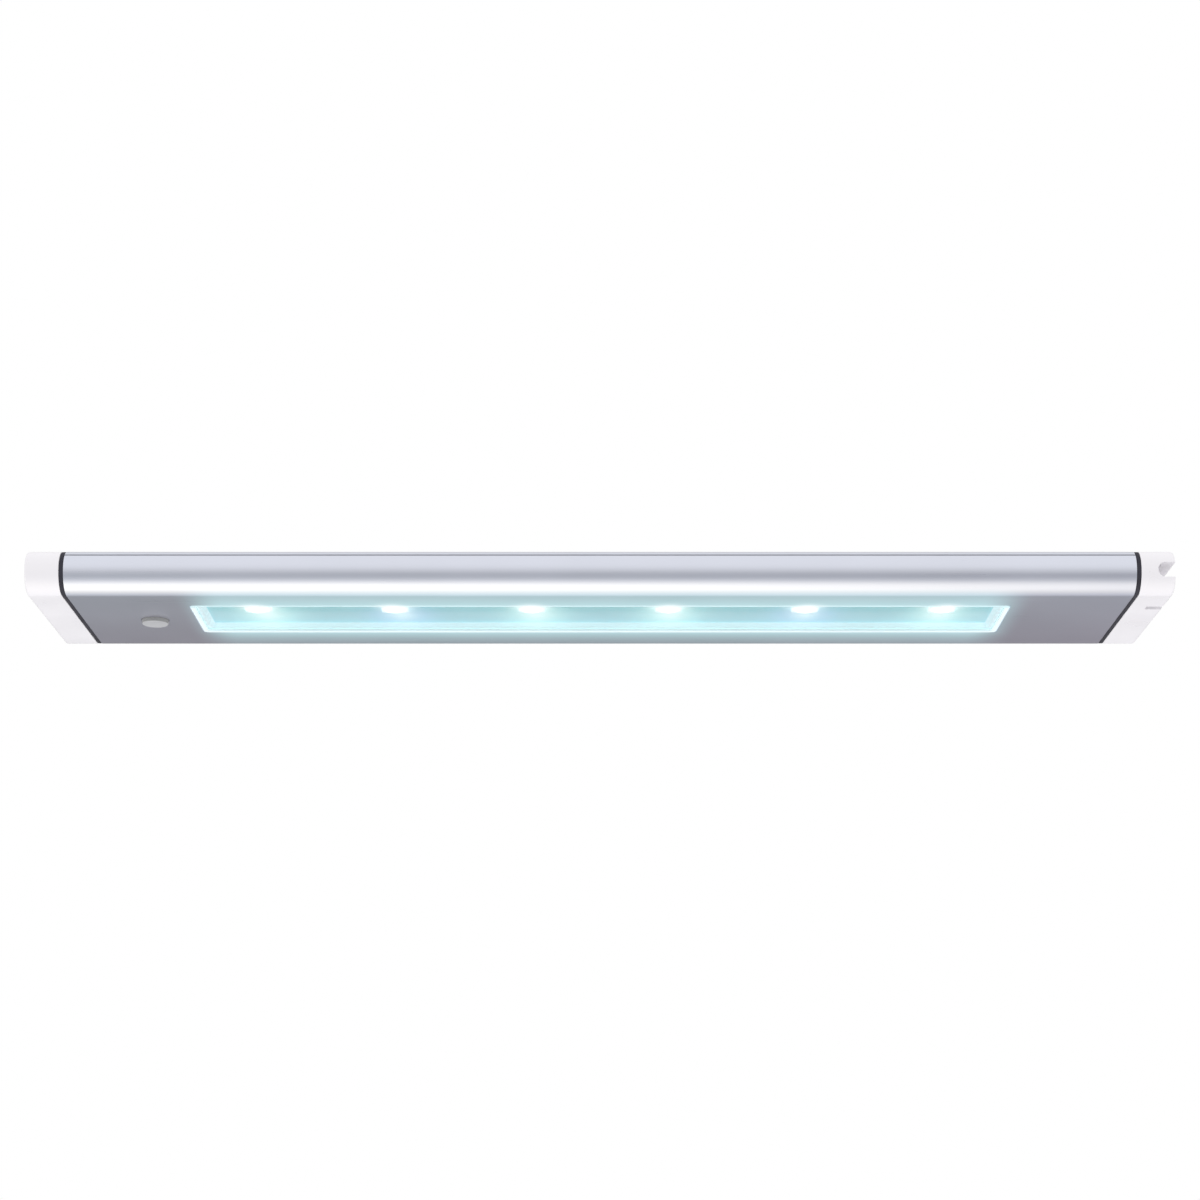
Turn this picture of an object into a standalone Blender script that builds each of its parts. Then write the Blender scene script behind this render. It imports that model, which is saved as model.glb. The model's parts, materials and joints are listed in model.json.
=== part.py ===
"""Slim sealed LED light bar: an aluminium extrusion closed by a finned top cover and two end caps.

The bar runs along X, its front edge faces -Y and its lit underside faces -Z.  The origin is the
middle of the flat land on top of the cover, the face that the bar is fixed by.  Heights above the
underside are called levels; level() turns one into a world Z.
"""
import math

import bmesh
import bpy

MM = 0.001

# ---- driving dimensions -------------------------------------------------------------------------
LENGTH = 310 * MM
DEPTH = 63.8 * MM
HEIGHT = 13.1 * MM

CAP_LENGTH = 9.3 * MM
GASKET_SPACE = 1.2 * MM
METAL_END = LENGTH / 2 - CAP_LENGTH - GASKET_SPACE
CAP_START = LENGTH / 2 - CAP_LENGTH

GAP = 0.3 * MM          # between pieces that rest on each other
FIT = 0.2 * MM          # between pieces that pass through or squeeze each other

# Section of the bar: two arcs make the bullnose edge, the envelope rises to the flat top.
EDGE_LEVEL = 6.8 * MM
LOWER_RADIUS = 6.8 * MM
UPPER_RADIUS = 5.1 * MM
SIDE_Y = DEPTH / 2
LOWER_ARC_Y = SIDE_Y - LOWER_RADIUS
UPPER_ARC_Y = SIDE_Y - UPPER_RADIUS
CROWN_Y = 21.0 * MM
ARC_STEPS = 8

# Lower housing
FLOOR = 1.6 * MM
SEAM_LEVEL = 10.0 * MM
LIP_Y = 28.2 * MM
LIP_LEVEL = 9.3 * MM
GROOVE_Y = 29.2 * MM
LEDGE_LEVEL = 8.2 * MM
LEDGE_Y = 25.2 * MM
SCREW_PORT_Y = 26.4 * MM
SCREW_PORT_LEVEL = 5.2 * MM
SCREW_PORT_RADIUS = 2.7 * MM
SCREW_PORT_TOP_ANGLE = 132
SCREW_BORE = 1.35 * MM
RAIL_FOOT = 0.8 * MM

# Top cover, a heat sink with two T slots
COVER_UNDERSIDE = 7.3 * MM
COVER_PAD_Y = 22.5 * MM
COVER_FLANGE_Y = 24.4 * MM
LAND_HALF_WIDTH = 7.0 * MM
SLOT_Y = 15.0 * MM
SLOT_MOUTH = 3.4 * MM
SLOT_WIDTH = 6.4 * MM
SLOT_DEPTH = 2.7 * MM
SLOT_LIP = 0.9 * MM
FIN_GROOVE_DEPTH = 2.2 * MM
FIN_GROOVES = (7.9 * MM, 21.4 * MM, 24.6 * MM)
FIN_GROOVE_WIDTH = 1.8 * MM

# End caps and gaskets
CAP_EDGE_ROUND = 0.7 * MM
CAP_POCKET_Y = 21.5 * MM
CAP_POCKET_BOTTOM = 2.2 * MM
CAP_POCKET_TOP = 9.4 * MM
CAP_POCKET_ROUND = 1.5 * MM
LEFT_POCKET_DEPTH = 6.3 * MM
RIGHT_POCKET_DEPTH = 2.9 * MM
CHANNEL_BOTTOM = 3.9 * MM
CHANNEL_TOP = 7.9 * MM
CHANNEL_DEPTH = 4.8 * MM
TIE_SLOT_Y = -13.4 * MM
TIE_SLOT_WIDTH = 2.8 * MM
GASKET_HOLE_Y = 20.5 * MM
GASKET_HOLE_BOTTOM = 2.9 * MM
GASKET_HOLE_TOP = 9.5 * MM

# Cap screws: heads sit in counterbores of the end faces
SCREW_SHANK = 1.15 * MM
SCREW_HEAD = 2.3 * MM
SCREW_HEAD_HEIGHT = 1.7 * MM
SCREW_LENGTH = 14.0 * MM
SCREW_CLEAR = 1.6 * MM
COUNTERBORE = 2.7 * MM
SCREW_SEAT_X = CAP_START + 2.6 * MM
HEX_SOCKET = 1.15 * MM
HEX_DEPTH = 1.0 * MM

# Window, seen in the underside; it lies a little towards the front edge
WINDOW_LENGTH = 225.7 * MM
WINDOW_WIDTH = 28.9 * MM
WINDOW_Y = -1.25 * MM
WINDOW_ROUND = 1.5 * MM
BEZEL_RIM = 1.1 * MM
BEZEL_FLANGE = 3.1 * MM
BEZEL_FLANGE_BOTTOM = 2.4 * MM
BEZEL_FLANGE_TOP = 3.0 * MM
BEZEL_TOP = 3.8 * MM
LENS_POCKET_TOP = 2.3 * MM
REFLECTOR_MOUTH_INSET = 2.3 * MM
REFLECTOR_THROAT_INSET = 3.4 * MM
REFLECTOR_SIDE_INSET = 1.9 * MM
LENS_BOTTOM = 0.3 * MM
LENS_TOP = 2.0 * MM
LENS_ROUND = 0.9 * MM
SEAL_BOTTOM = 1.8 * MM
SEAL_TOP = 2.2 * MM
SEAL_WIDTH = 2.4 * MM

# LED board stack
BOARD_CORNER = 1.0 * MM
BOARD_HALF_LENGTH = 118.0 * MM
BOARD_WIDTH = 34.0 * MM
BOARD_BOTTOM = 4.1 * MM
BOARD_TOP = 5.7 * MM
PAD_HALF_LENGTH = 112.0 * MM
PAD_WIDTH = 30.0 * MM
PAD_BOTTOM = 6.0 * MM
PAD_TOP = 7.0 * MM
LED_COUNT = 6
LED_PITCH = 38.2 * MM
LED_ROW_Y = -3.5 * MM
LED_BASE_RADIUS = 3.8 * MM
LED_BASE_HEIGHT = 0.4 * MM
LED_DOME_RADIUS = 3.1 * MM
LED_DOME_HEIGHT = 0.75 * MM
BOARD_SCREW_X = 115.5 * MM
BOARD_SCREW_SPREAD = 12.0 * MM
BOARD_SCREW_SHANK = 0.9 * MM
BOARD_SCREW_HEAD = 1.9 * MM
BOARD_SCREW_HEAD_HEIGHT = 0.7 * MM
BOARD_SCREW_TIP = 9.2 * MM
TAPPED_TOP = 9.6 * MM
SMALL_HEX = 0.8 * MM
SMALL_HEX_DEPTH = 0.4 * MM

# Controller board at the left end, with the push button below it
CONTROL_LEFT = -139.5 * MM
CONTROL_RIGHT = -119.0 * MM
CONTROL_WIDTH = 36.0 * MM
CONTROL_BOTTOM = 5.6 * MM
CONTROL_TOP = 6.8 * MM
CONTROL_SCREW_X = -137.2 * MM
CONTROL_SCREW_Y = 15.0 * MM
CHIP_EDGE = 0.15 * MM
DRIVER_CHIP = (6.0 * MM, 5.0 * MM, 1.4 * MM)
DRIVER_CHIP_PLACE = (-127.5 * MM, -11.0 * MM)
CONTROL_CHIP = (7.0 * MM, 7.0 * MM, 1.0 * MM)
CONTROL_CHIP_PLACE = (-127.0 * MM, 11.0 * MM)
CAPACITOR = (4.2 * MM, 6.0 * MM, 2.2 * MM)
CAPACITOR_PLACE = (-135.0 * MM, 8.0 * MM)
INDUCTOR_RADIUS = 3.2 * MM
INDUCTOR_HEIGHT = 2.4 * MM
INDUCTOR_EDGE = 0.5 * MM
INDUCTOR_PLACE = (-134.5 * MM, -9.0 * MM)
BUTTON_X = -124.6 * MM
BUTTON_RADIUS = 3.7 * MM
BUTTON_PROUD = 1.2 * MM
BUTTON_EDGE = 0.35 * MM
BUTTON_FLANGE = 4.7 * MM
BUTTON_FLANGE_BOTTOM = 2.3 * MM
BUTTON_FLANGE_TOP = 2.8 * MM
BUTTON_HOLE = 3.85 * MM
BUTTON_SEAL_BOTTOM = 1.75 * MM
BUTTON_SEAL_TOP = 2.15 * MM
BUTTON_SEAL_OUTER = 5.2 * MM
SWITCH_SIZE = 6.2 * MM
SWITCH_EDGE = 0.2 * MM
SWITCH_BOTTOM = 3.5 * MM
SWITCH_TOP = 5.3 * MM
SWITCH_BORE = 1.8 * MM
SWITCH_BORE_TOP = 4.9 * MM
PLUNGER_RADIUS = 1.6 * MM
PLUNGER_BOTTOM = 3.1 * MM
PLUNGER_TOP = 4.2 * MM

# Power inlet in the left cap; X positions are distances left of the bar's middle
INLET_LEVEL = 6.2 * MM
INLET_RECESS_RADIUS = 4.7 * MM
INLET_RECESS_DEPTH = 1.3 * MM
INLET_FLANGE_RADIUS = 4.4 * MM
INLET_FLANGE_OUT = 154.8 * MM
INLET_FLANGE_IN = 154.4 * MM
INLET_BARREL_RADIUS = 3.0 * MM
INLET_BARREL_END = 145.2 * MM
INLET_HOLE = 3.2 * MM
INLET_BORE = 2.0 * MM
INLET_BORE_END = 147.0 * MM
INLET_PIN_RADIUS = 0.65 * MM
INLET_PIN_HOLE = 0.85 * MM
INLET_PIN_OUT = 154.0 * MM
INLET_PIN_TAIL = 143.0 * MM
INLET_SEAL_OUTER = 4.2 * MM
INLET_SEAL_INNER = 3.2 * MM
INLET_SEAL_OUT = 154.2 * MM
INLET_SEAL_IN = 153.85 * MM
INLET_NUT_RADIUS = 4.6 * MM
INLET_NUT_POCKET_RADIUS = 4.9 * MM
INLET_NUT_POCKET_END = 152.3 * MM
INLET_NUT_OUT = 152.0 * MM
INLET_NUT_IN = 150.2 * MM
INLET_LEAD_Y = -1.9 * MM

LEAD_RADIUS = 0.45 * MM
LEAD_PULL = 2.2 * MM        # how far a lead runs straight before it bends
LEAD_INSET = 3.0 * MM       # from a controller board edge to the leads' ends
LEAD_SPREAD = 3.0 * MM
LED_LEAD_COUNT = 3
LED_LEAD_PITCH = 2.2 * MM
LED_LEAD_Y = -6.7 * MM
LED_LEAD_INSET = 1.3 * MM
LEAD_STEPS = 10

# Sides of round pieces, from the large to the small
ROUND_STEPS = 32
MEDIUM_STEPS = 24
SMALL_STEPS = 16
HEX_SIDES = 6
DOME_STEPS = 5

WELD_DISTANCE = 0.001 * MM
FLAT_ANGLE = math.radians(1)
SHARP_ANGLE = math.radians(32)

FINISHES = {
    # name: (base colour, metallic, roughness)
    "anodised": ((0.62, 0.62, 0.66), 1.0, 0.32),
    "cover_metal": ((0.60, 0.60, 0.64), 1.0, 0.36),
    "white_cap": ((0.86, 0.85, 0.86), 0.0, 0.38),
    "gasket_rubber": ((0.05, 0.05, 0.06), 0.0, 0.75),
    "steel": ((0.66, 0.65, 0.63), 1.0, 0.28),
    "bezel_white": ((0.88, 0.93, 0.94), 0.0, 0.35),
    "clear_lens": ((0.90, 0.97, 0.98), 0.0, 0.05),
    "silicone": ((0.55, 0.57, 0.58), 0.0, 0.60),
    "board_white": ((0.78, 0.86, 0.87), 0.0, 0.45),
    "board_green": ((0.03, 0.16, 0.08), 0.0, 0.45),
    "thermal_grey": ((0.42, 0.43, 0.46), 0.0, 0.80),
    "led_dome": ((0.75, 0.95, 1.00), 0.0, 0.15),
    "button_grey": ((0.50, 0.50, 0.52), 0.0, 0.40),
    "black_plastic": ((0.02, 0.02, 0.022), 0.0, 0.42),
    "switch_plunger": ((0.12, 0.12, 0.12), 0.0, 0.50),
    "ferrite": ((0.07, 0.07, 0.075), 0.0, 0.65),
    "brass": ((0.80, 0.60, 0.26), 1.0, 0.30),
    "lead_red": ((0.55, 0.03, 0.02), 0.0, 0.45),
    "lead_black": ((0.02, 0.02, 0.02), 0.0, 0.45),
    "lead_white": ((0.80, 0.80, 0.78), 0.0, 0.45),
}


# ---- scene bookkeeping --------------------------------------------------------------------------
def clear_scene():
    for item in list(bpy.data.objects):
        bpy.data.objects.remove(item, do_unlink=True)


def new_collection(name):
    collection = bpy.data.collections.new(name)
    bpy.context.scene.collection.children.link(collection)
    return collection


def finish(name):
    """The Principled material of a named finish, made once."""
    material = bpy.data.materials.get(name)
    if material is None:
        colour, metallic, roughness = FINISHES[name]
        material = bpy.data.materials.new(name)
        material.use_nodes = True
        shader = material.node_tree.nodes["Principled BSDF"]
        shader.inputs["Base Color"].default_value = (*colour, 1.0)
        shader.inputs["Metallic"].default_value = metallic
        shader.inputs["Roughness"].default_value = roughness
        material.diffuse_color = (*colour, 1.0)
    return material


def level(height):
    """World Z of a height above the underside."""
    return height - HEIGHT


# ---- shape helpers ------------------------------------------------------------------------------
def arc(centre, radius, start, end, steps=ARC_STEPS):
    """Points along an arc between two angles in degrees, both ends included."""
    points = []
    for step in range(steps + 1):
        angle = math.radians(start + (end - start) * step / steps)
        points.append((centre[0] + radius * math.cos(angle), centre[1] + radius * math.sin(angle)))
    return points


def circle(centre, radius, steps=ROUND_STEPS):
    return arc(centre, radius, 0, 360 - 360 / steps, steps - 1)


def rounded_rectangle(low, high, radius, steps=4):
    corners = ((high[0] - radius, low[1] + radius, -90), (high[0] - radius, high[1] - radius, 0),
               (low[0] + radius, high[1] - radius, 90), (low[0] + radius, low[1] + radius, 180))
    points = []
    for x, y, start in corners:
        points += arc((x, y), radius, start, start + 90, steps)
    return points


def with_mirror(half):
    """Closes a half outline, given for positive first coordinates, with its mirror image."""
    return half + [(-x, y) for x, y in reversed(half)]


def solid_from_outlines(name, outlines, thickness):
    """Extrudes closed outlines by a thickness centred on their plane and returns a welded mesh."""
    curve = bpy.data.curves.new(name, "CURVE")
    curve.dimensions = "2D"
    curve.fill_mode = "BOTH"
    curve.extrude = thickness / 2
    for outline in outlines:
        spline = curve.splines.new("POLY")
        spline.points.add(len(outline) - 1)
        for point, (x, y) in zip(spline.points, outline):
            point.co = (x, y, 0.0, 1.0)
        spline.use_cyclic_u = True
    outline_object = bpy.data.objects.new(name + "_outline", curve)
    bpy.context.scene.collection.objects.link(outline_object)
    depsgraph = bpy.context.evaluated_depsgraph_get()
    mesh = bpy.data.meshes.new_from_object(outline_object.evaluated_get(depsgraph))
    bpy.data.objects.remove(outline_object, do_unlink=True)
    bpy.data.curves.remove(curve)
    weld(mesh)
    return mesh


def weld(mesh):
    """Joins a curve's loose caps to its sides and turns flat areas into single faces."""
    shape = bmesh.new()
    shape.from_mesh(mesh)
    bmesh.ops.remove_doubles(shape, verts=shape.verts, dist=WELD_DISTANCE)
    bmesh.ops.dissolve_limit(shape, angle_limit=FLAT_ANGLE, verts=shape.verts, edges=shape.edges)
    bmesh.ops.recalc_face_normals(shape, faces=shape.faces)
    shape.to_mesh(mesh)
    shape.free()


def add_part(name, mesh, finish_name, location=(0, 0, 0), rotation=(0, 0, 0)):
    """Puts a mesh in the bar's collection as a named sub-part."""
    mesh.name = name
    mesh.materials.clear()
    mesh.materials.append(finish(finish_name))
    mesh.shade_smooth()
    mesh.set_sharp_from_angle(angle=SHARP_ANGLE)
    part = bpy.data.objects.new(name, mesh)
    part.location = location
    part.rotation_euler = rotation
    PARTS.objects.link(part)
    return part


def add_cutter(name, mesh, location=(0, 0, 0), rotation=(0, 0, 0)):
    cutter = bpy.data.objects.new(name, mesh)
    cutter.location = location
    cutter.rotation_euler = rotation
    cutter.hide_render = True
    cutter.display_type = "WIRE"
    CUTTERS.objects.link(cutter)
    return cutter


def boolean(part, other, operation="DIFFERENCE"):
    modifier = part.modifiers.new(operation.lower() + "_" + other.name, "BOOLEAN")
    modifier.operation = operation
    modifier.solver = "EXACT"
    modifier.object = other


ALONG_X = (math.pi / 2, 0, math.pi / 2)     # an outline drawn as (Y, Z) and extruded along X


def section_mesh(name, outlines, x_from, x_to):
    """Mesh and location of a section of levels, extruded from one X to another."""
    mesh = solid_from_outlines(name, outlines, x_to - x_from)
    return mesh, ((x_from + x_to) / 2, 0, level(0))


def section_part(name, outlines, x_from, x_to, finish_name):
    mesh, location = section_mesh(name, outlines, x_from, x_to)
    return add_part(name, mesh, finish_name, location, ALONG_X)


def section_cutter(name, outlines, x_from, x_to):
    mesh, location = section_mesh(name, outlines, x_from, x_to)
    return add_cutter(name, mesh, location, ALONG_X)


def plate_mesh(name, outlines, bottom, top):
    """Mesh and location of plan outlines, extruded between two levels."""
    mesh = solid_from_outlines(name, outlines, top - bottom)
    return mesh, (0, 0, level((bottom + top) / 2))


def plate_part(name, outlines, bottom, top, finish_name):
    mesh, location = plate_mesh(name, outlines, bottom, top)
    return add_part(name, mesh, finish_name, location)


def plate_cutter(name, outlines, bottom, top):
    mesh, location = plate_mesh(name, outlines, bottom, top)
    return add_cutter(name, mesh, location)


def box_mesh(name, size, edge=0.0):
    """A box centred on its origin, with its edges bevelled where edge is given."""
    mesh = bpy.data.meshes.new(name)
    shape = bmesh.new()
    bmesh.ops.create_cube(shape, size=1.0)
    bmesh.ops.scale(shape, vec=size, verts=shape.verts)
    if edge:
        bmesh.ops.bevel(shape, geom=shape.edges[:], offset=edge, segments=2, profile=0.5,
                        affect="EDGES")
    shape.to_mesh(mesh)
    shape.free()
    return mesh


def drill_mesh(name, radius, depth, sides=ROUND_STEPS):
    mesh = bpy.data.meshes.new(name)
    shape = bmesh.new()
    bmesh.ops.create_cone(shape, cap_ends=True, segments=sides, radius1=radius, radius2=radius,
                          depth=depth)
    shape.to_mesh(mesh)
    shape.free()
    return mesh


def drill_up(part, name, x, y, radius, bottom, top, sides=ROUND_STEPS):
    """Cuts a vertical hole between two levels."""
    mesh = drill_mesh(name, radius, top - bottom, sides)
    boolean(part, add_cutter(name, mesh, (x, y, level((bottom + top) / 2))))


def drill_along(part, name, y, height, radius, x_from, x_to, sides=ROUND_STEPS):
    """Cuts a hole along X at a level."""
    mesh = drill_mesh(name, radius, abs(x_to - x_from), sides)
    location = ((x_from + x_to) / 2, y, level(height))
    boolean(part, add_cutter(name, mesh, location, (0, math.pi / 2, 0)))


def turned_part(name, profile, finish_name, location, rotation=(0, 0, 0), steps=ROUND_STEPS):
    """A profile of (radius, height) points, top to bottom, turned about the local Z axis."""
    mesh = bpy.data.meshes.new(name)
    points = [(radius, 0.0, height) for radius, height in profile]
    edges = [(index, index + 1) for index in range(len(points) - 1)]
    if profile[0][0] > 0:
        edges.append((len(points) - 1, 0))
    mesh.from_pydata(points, edges, [])
    part = add_part(name, mesh, finish_name, location, rotation)
    screw = part.modifiers.new("turn", "SCREW")
    screw.axis = "Z"
    screw.angle = math.tau
    screw.steps = steps
    screw.render_steps = steps
    screw.use_merge_vertices = True
    screw.merge_threshold = WELD_DISTANCE
    screw.use_smooth_shade = True
    return part


def lead_part(name, route, finish_name):
    """A wire along a smooth curve through the route's points."""
    curve = bpy.data.curves.new(name, "CURVE")
    curve.dimensions = "3D"
    curve.bevel_depth = LEAD_RADIUS
    curve.bevel_resolution = 2
    curve.use_fill_caps = True
    spline = curve.splines.new("POLY")
    points = smooth_route(route)
    spline.points.add(len(points) - 1)
    for point, place in zip(spline.points, points):
        point.co = (*place, 1.0)
    curve.materials.append(finish(finish_name))
    lead = bpy.data.objects.new(name, curve)
    PARTS.objects.link(lead)
    return lead


def smooth_route(route):
    """Cubic curve from the first point to the last, pulled by the two points between them."""
    start, pull_a, pull_b, end = route
    points = []
    for step in range(LEAD_STEPS + 1):
        t = step / LEAD_STEPS
        weights = ((1 - t) ** 3, 3 * t * (1 - t) ** 2, 3 * t * t * (1 - t), t ** 3)
        points.append([sum(w * p[axis] for w, p in zip(weights, (start, pull_a, pull_b, end)))
                       for axis in range(3)])
    return points


# ---- section outlines ---------------------------------------------------------------------------
def upper_angle(height):
    """Angle on the upper arc of the bullnose at a level."""
    return math.degrees(math.asin((height - EDGE_LEVEL) / UPPER_RADIUS))


def lower_edge():
    return arc((LOWER_ARC_Y, EDGE_LEVEL), LOWER_RADIUS, -90, 0)


def envelope():
    """Outline of the whole section."""
    half = lower_edge() + arc((UPPER_ARC_Y, EDGE_LEVEL), UPPER_RADIUS, 0, 90)[1:]
    half.append((CROWN_Y, HEIGHT))
    return with_mirror(half)


def housing_outline():
    half = lower_edge()
    half += arc((UPPER_ARC_Y, EDGE_LEVEL), UPPER_RADIUS, 0, upper_angle(SEAM_LEVEL))[1:]
    half += [(LIP_Y, SEAM_LEVEL), (LIP_Y, LIP_LEVEL), (GROOVE_Y, LIP_LEVEL),
             (GROOVE_Y, LEDGE_LEVEL), (LEDGE_Y, LEDGE_LEVEL)]
    half += arc((SCREW_PORT_Y, SCREW_PORT_LEVEL), SCREW_PORT_RADIUS, SCREW_PORT_TOP_ANGLE, 180)
    rail_y = SCREW_PORT_Y - SCREW_PORT_RADIUS
    half += [(rail_y, FLOOR + RAIL_FOOT), (rail_y - RAIL_FOOT, FLOOR)]
    return with_mirror(half)


def crown_level(y):
    """Level of the cover's top at a distance from the middle."""
    if y <= CROWN_Y:
        return HEIGHT
    edge_level = EDGE_LEVEL + UPPER_RADIUS
    share = (y - CROWN_Y) / (UPPER_ARC_Y - CROWN_Y)
    return HEIGHT + (edge_level - HEIGHT) * share


def fin_groove(y):
    near = y - FIN_GROOVE_WIDTH / 2
    far = y + FIN_GROOVE_WIDTH / 2
    bottom = HEIGHT - FIN_GROOVE_DEPTH
    return [(near, crown_level(near)), (near, bottom), (far, bottom), (far, crown_level(far))]


def t_slot():
    mouth_near = SLOT_Y - SLOT_MOUTH / 2
    mouth_far = SLOT_Y + SLOT_MOUTH / 2
    wide_near = SLOT_Y - SLOT_WIDTH / 2
    wide_far = SLOT_Y + SLOT_WIDTH / 2
    lip = HEIGHT - SLOT_LIP
    floor = HEIGHT - SLOT_DEPTH
    return [(mouth_near, HEIGHT), (mouth_near, lip), (wide_near, lip), (wide_near, floor),
            (wide_far, floor), (wide_far, lip), (mouth_far, lip), (mouth_far, HEIGHT)]


def cover_outline():
    inner_groove, *outer_grooves = FIN_GROOVES
    half = fin_groove(inner_groove) + t_slot()
    for y in outer_grooves:
        half += fin_groove(y)
    half += arc((UPPER_ARC_Y, EDGE_LEVEL), UPPER_RADIUS, 90, upper_angle(SEAM_LEVEL + GAP))
    neck_y = LIP_Y - GAP
    tongue_y = GROOVE_Y - GAP
    flange = LEDGE_LEVEL + GAP
    half += [(neck_y, SEAM_LEVEL + FIT), (neck_y, LIP_LEVEL - GAP), (tongue_y, LIP_LEVEL - GAP),
             (tongue_y, flange), (COVER_FLANGE_Y, flange + FIT), (COVER_PAD_Y, COVER_UNDERSIDE)]
    return with_mirror(half)


# ---- metalwork ----------------------------------------------------------------------------------
def make_lower_housing():
    ports = [circle((side * SCREW_PORT_Y, SCREW_PORT_LEVEL), SCREW_BORE, MEDIUM_STEPS)
             for side in (-1, 1)]
    housing = section_part("lower_housing", [housing_outline(), *ports], -METAL_END, METAL_END,
                           "anodised")
    boolean(housing, plate_cutter("window_cut", [window_outline(0, WINDOW_ROUND)], -FLOOR,
                                  FLOOR * 2))
    drill_up(housing, "button_cut", BUTTON_X, 0, BUTTON_HOLE, -FLOOR, FLOOR * 2)


def make_top_heat_sink():
    cover = section_part("top_heat_sink", [cover_outline()], -METAL_END, METAL_END,
                         "cover_metal")
    for number, (x, y) in enumerate(board_screw_places() + control_screw_places(), 1):
        drill_up(cover, f"tapped_hole_cut_{number}", x, y, BOARD_SCREW_SHANK + FIT,
                 CONTROL_TOP, TAPPED_TOP, SMALL_STEPS)


# ---- window -------------------------------------------------------------------------------------
def window_outline(inset, radius):
    """Plan outline of the window, pulled in by an inset (or let out by a negative one)."""
    half_length = WINDOW_LENGTH / 2 - inset
    half_width = WINDOW_WIDTH / 2 - inset
    return rounded_rectangle((-half_length, WINDOW_Y - half_width),
                             (half_length, WINDOW_Y + half_width), radius)


def reflector_cutter():
    """Opening of the bezel behind the lens: its ends slope in towards the board."""
    length = WINDOW_LENGTH / 2 - REFLECTOR_MOUTH_INSET
    throat = WINDOW_LENGTH / 2 - REFLECTOR_THROAT_INSET
    width = WINDOW_WIDTH - 2 * REFLECTOR_SIDE_INSET
    bottom = LENS_POCKET_TOP - GAP
    top = BEZEL_TOP + GAP
    mesh = box_mesh("reflector_cut", (2 * length, width, top - bottom))
    for vertex in mesh.vertices:
        if vertex.co.z > 0:
            vertex.co.x *= throat / length
    return add_cutter("reflector_cut", mesh, (0, WINDOW_Y, level((bottom + top) / 2)))


def make_window():
    bezel = plate_part("window_bezel", [window_outline(FIT, WINDOW_ROUND - FIT)], 0, BEZEL_TOP,
                       "bezel_white")
    boolean(bezel, plate_cutter("bezel_flange_add", [window_outline(-BEZEL_FLANGE, WINDOW_ROUND)],
                                BEZEL_FLANGE_BOTTOM, BEZEL_FLANGE_TOP), "UNION")
    boolean(bezel, plate_cutter("lens_pocket_cut", [window_outline(FIT + BEZEL_RIM, LENS_ROUND)],
                                -FLOOR, LENS_POCKET_TOP))
    boolean(bezel, reflector_cutter())
    plate_part("window_lens", [window_outline(2 * FIT + BEZEL_RIM, LENS_ROUND - FIT)],
               LENS_BOTTOM, LENS_TOP, "clear_lens")
    plate_part("window_seal", [window_outline(-GAP - SEAL_WIDTH, WINDOW_ROUND),
                               window_outline(-GAP, WINDOW_ROUND)],
               SEAL_BOTTOM, SEAL_TOP, "silicone")


# ---- LED board ----------------------------------------------------------------------------------
def board_screw_places():
    return [(side * BOARD_SCREW_X, WINDOW_Y + rank * BOARD_SCREW_SPREAD)
            for side in (-1, 1) for rank in (-1, 1)]


def control_screw_places():
    return [(CONTROL_SCREW_X, side * CONTROL_SCREW_Y) for side in (-1, 1)]


def board_part(name, low, high, bottom, top, holes, finish_name):
    outline = rounded_rectangle(low, high, BOARD_CORNER)
    rims = [circle(place, BOARD_SCREW_SHANK + FIT, SMALL_STEPS) for place in holes]
    return plate_part(name, [outline, *rims], bottom, top, finish_name)


def small_screw(name, place, seat):
    """A socket screw with its head under a board, its tip up in the cover."""
    head = seat - GAP
    tip = BOARD_SCREW_TIP - seat + GAP
    profile = [(0, tip), (BOARD_SCREW_SHANK, tip), (BOARD_SCREW_SHANK, 0),
               (BOARD_SCREW_HEAD, 0), (BOARD_SCREW_HEAD, -BOARD_SCREW_HEAD_HEIGHT),
               (0, -BOARD_SCREW_HEAD_HEIGHT)]
    screw = turned_part(name, profile, "steel", (*place, level(head)),
                        steps=SMALL_STEPS)
    low = head - BOARD_SCREW_HEAD_HEIGHT
    drill_up(screw, name + "_socket_cut", *place, SMALL_HEX, low - SMALL_HEX_DEPTH,
             low + SMALL_HEX_DEPTH, HEX_SIDES)


def make_led_board():
    half_width = BOARD_WIDTH / 2
    board_part("led_board", (-BOARD_HALF_LENGTH, WINDOW_Y - half_width),
               (BOARD_HALF_LENGTH, WINDOW_Y + half_width), BOARD_BOTTOM, BOARD_TOP,
               board_screw_places(), "board_white")
    half_width = PAD_WIDTH / 2
    plate_part("thermal_pad", [rounded_rectangle((-PAD_HALF_LENGTH, WINDOW_Y - half_width),
                                                 (PAD_HALF_LENGTH, WINDOW_Y + half_width),
                                                 BOARD_CORNER)],
               PAD_BOTTOM, PAD_TOP, "thermal_grey")
    for number, place in enumerate(board_screw_places(), 1):
        small_screw(f"led_board_screw_{number}", place, BOARD_BOTTOM)


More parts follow.
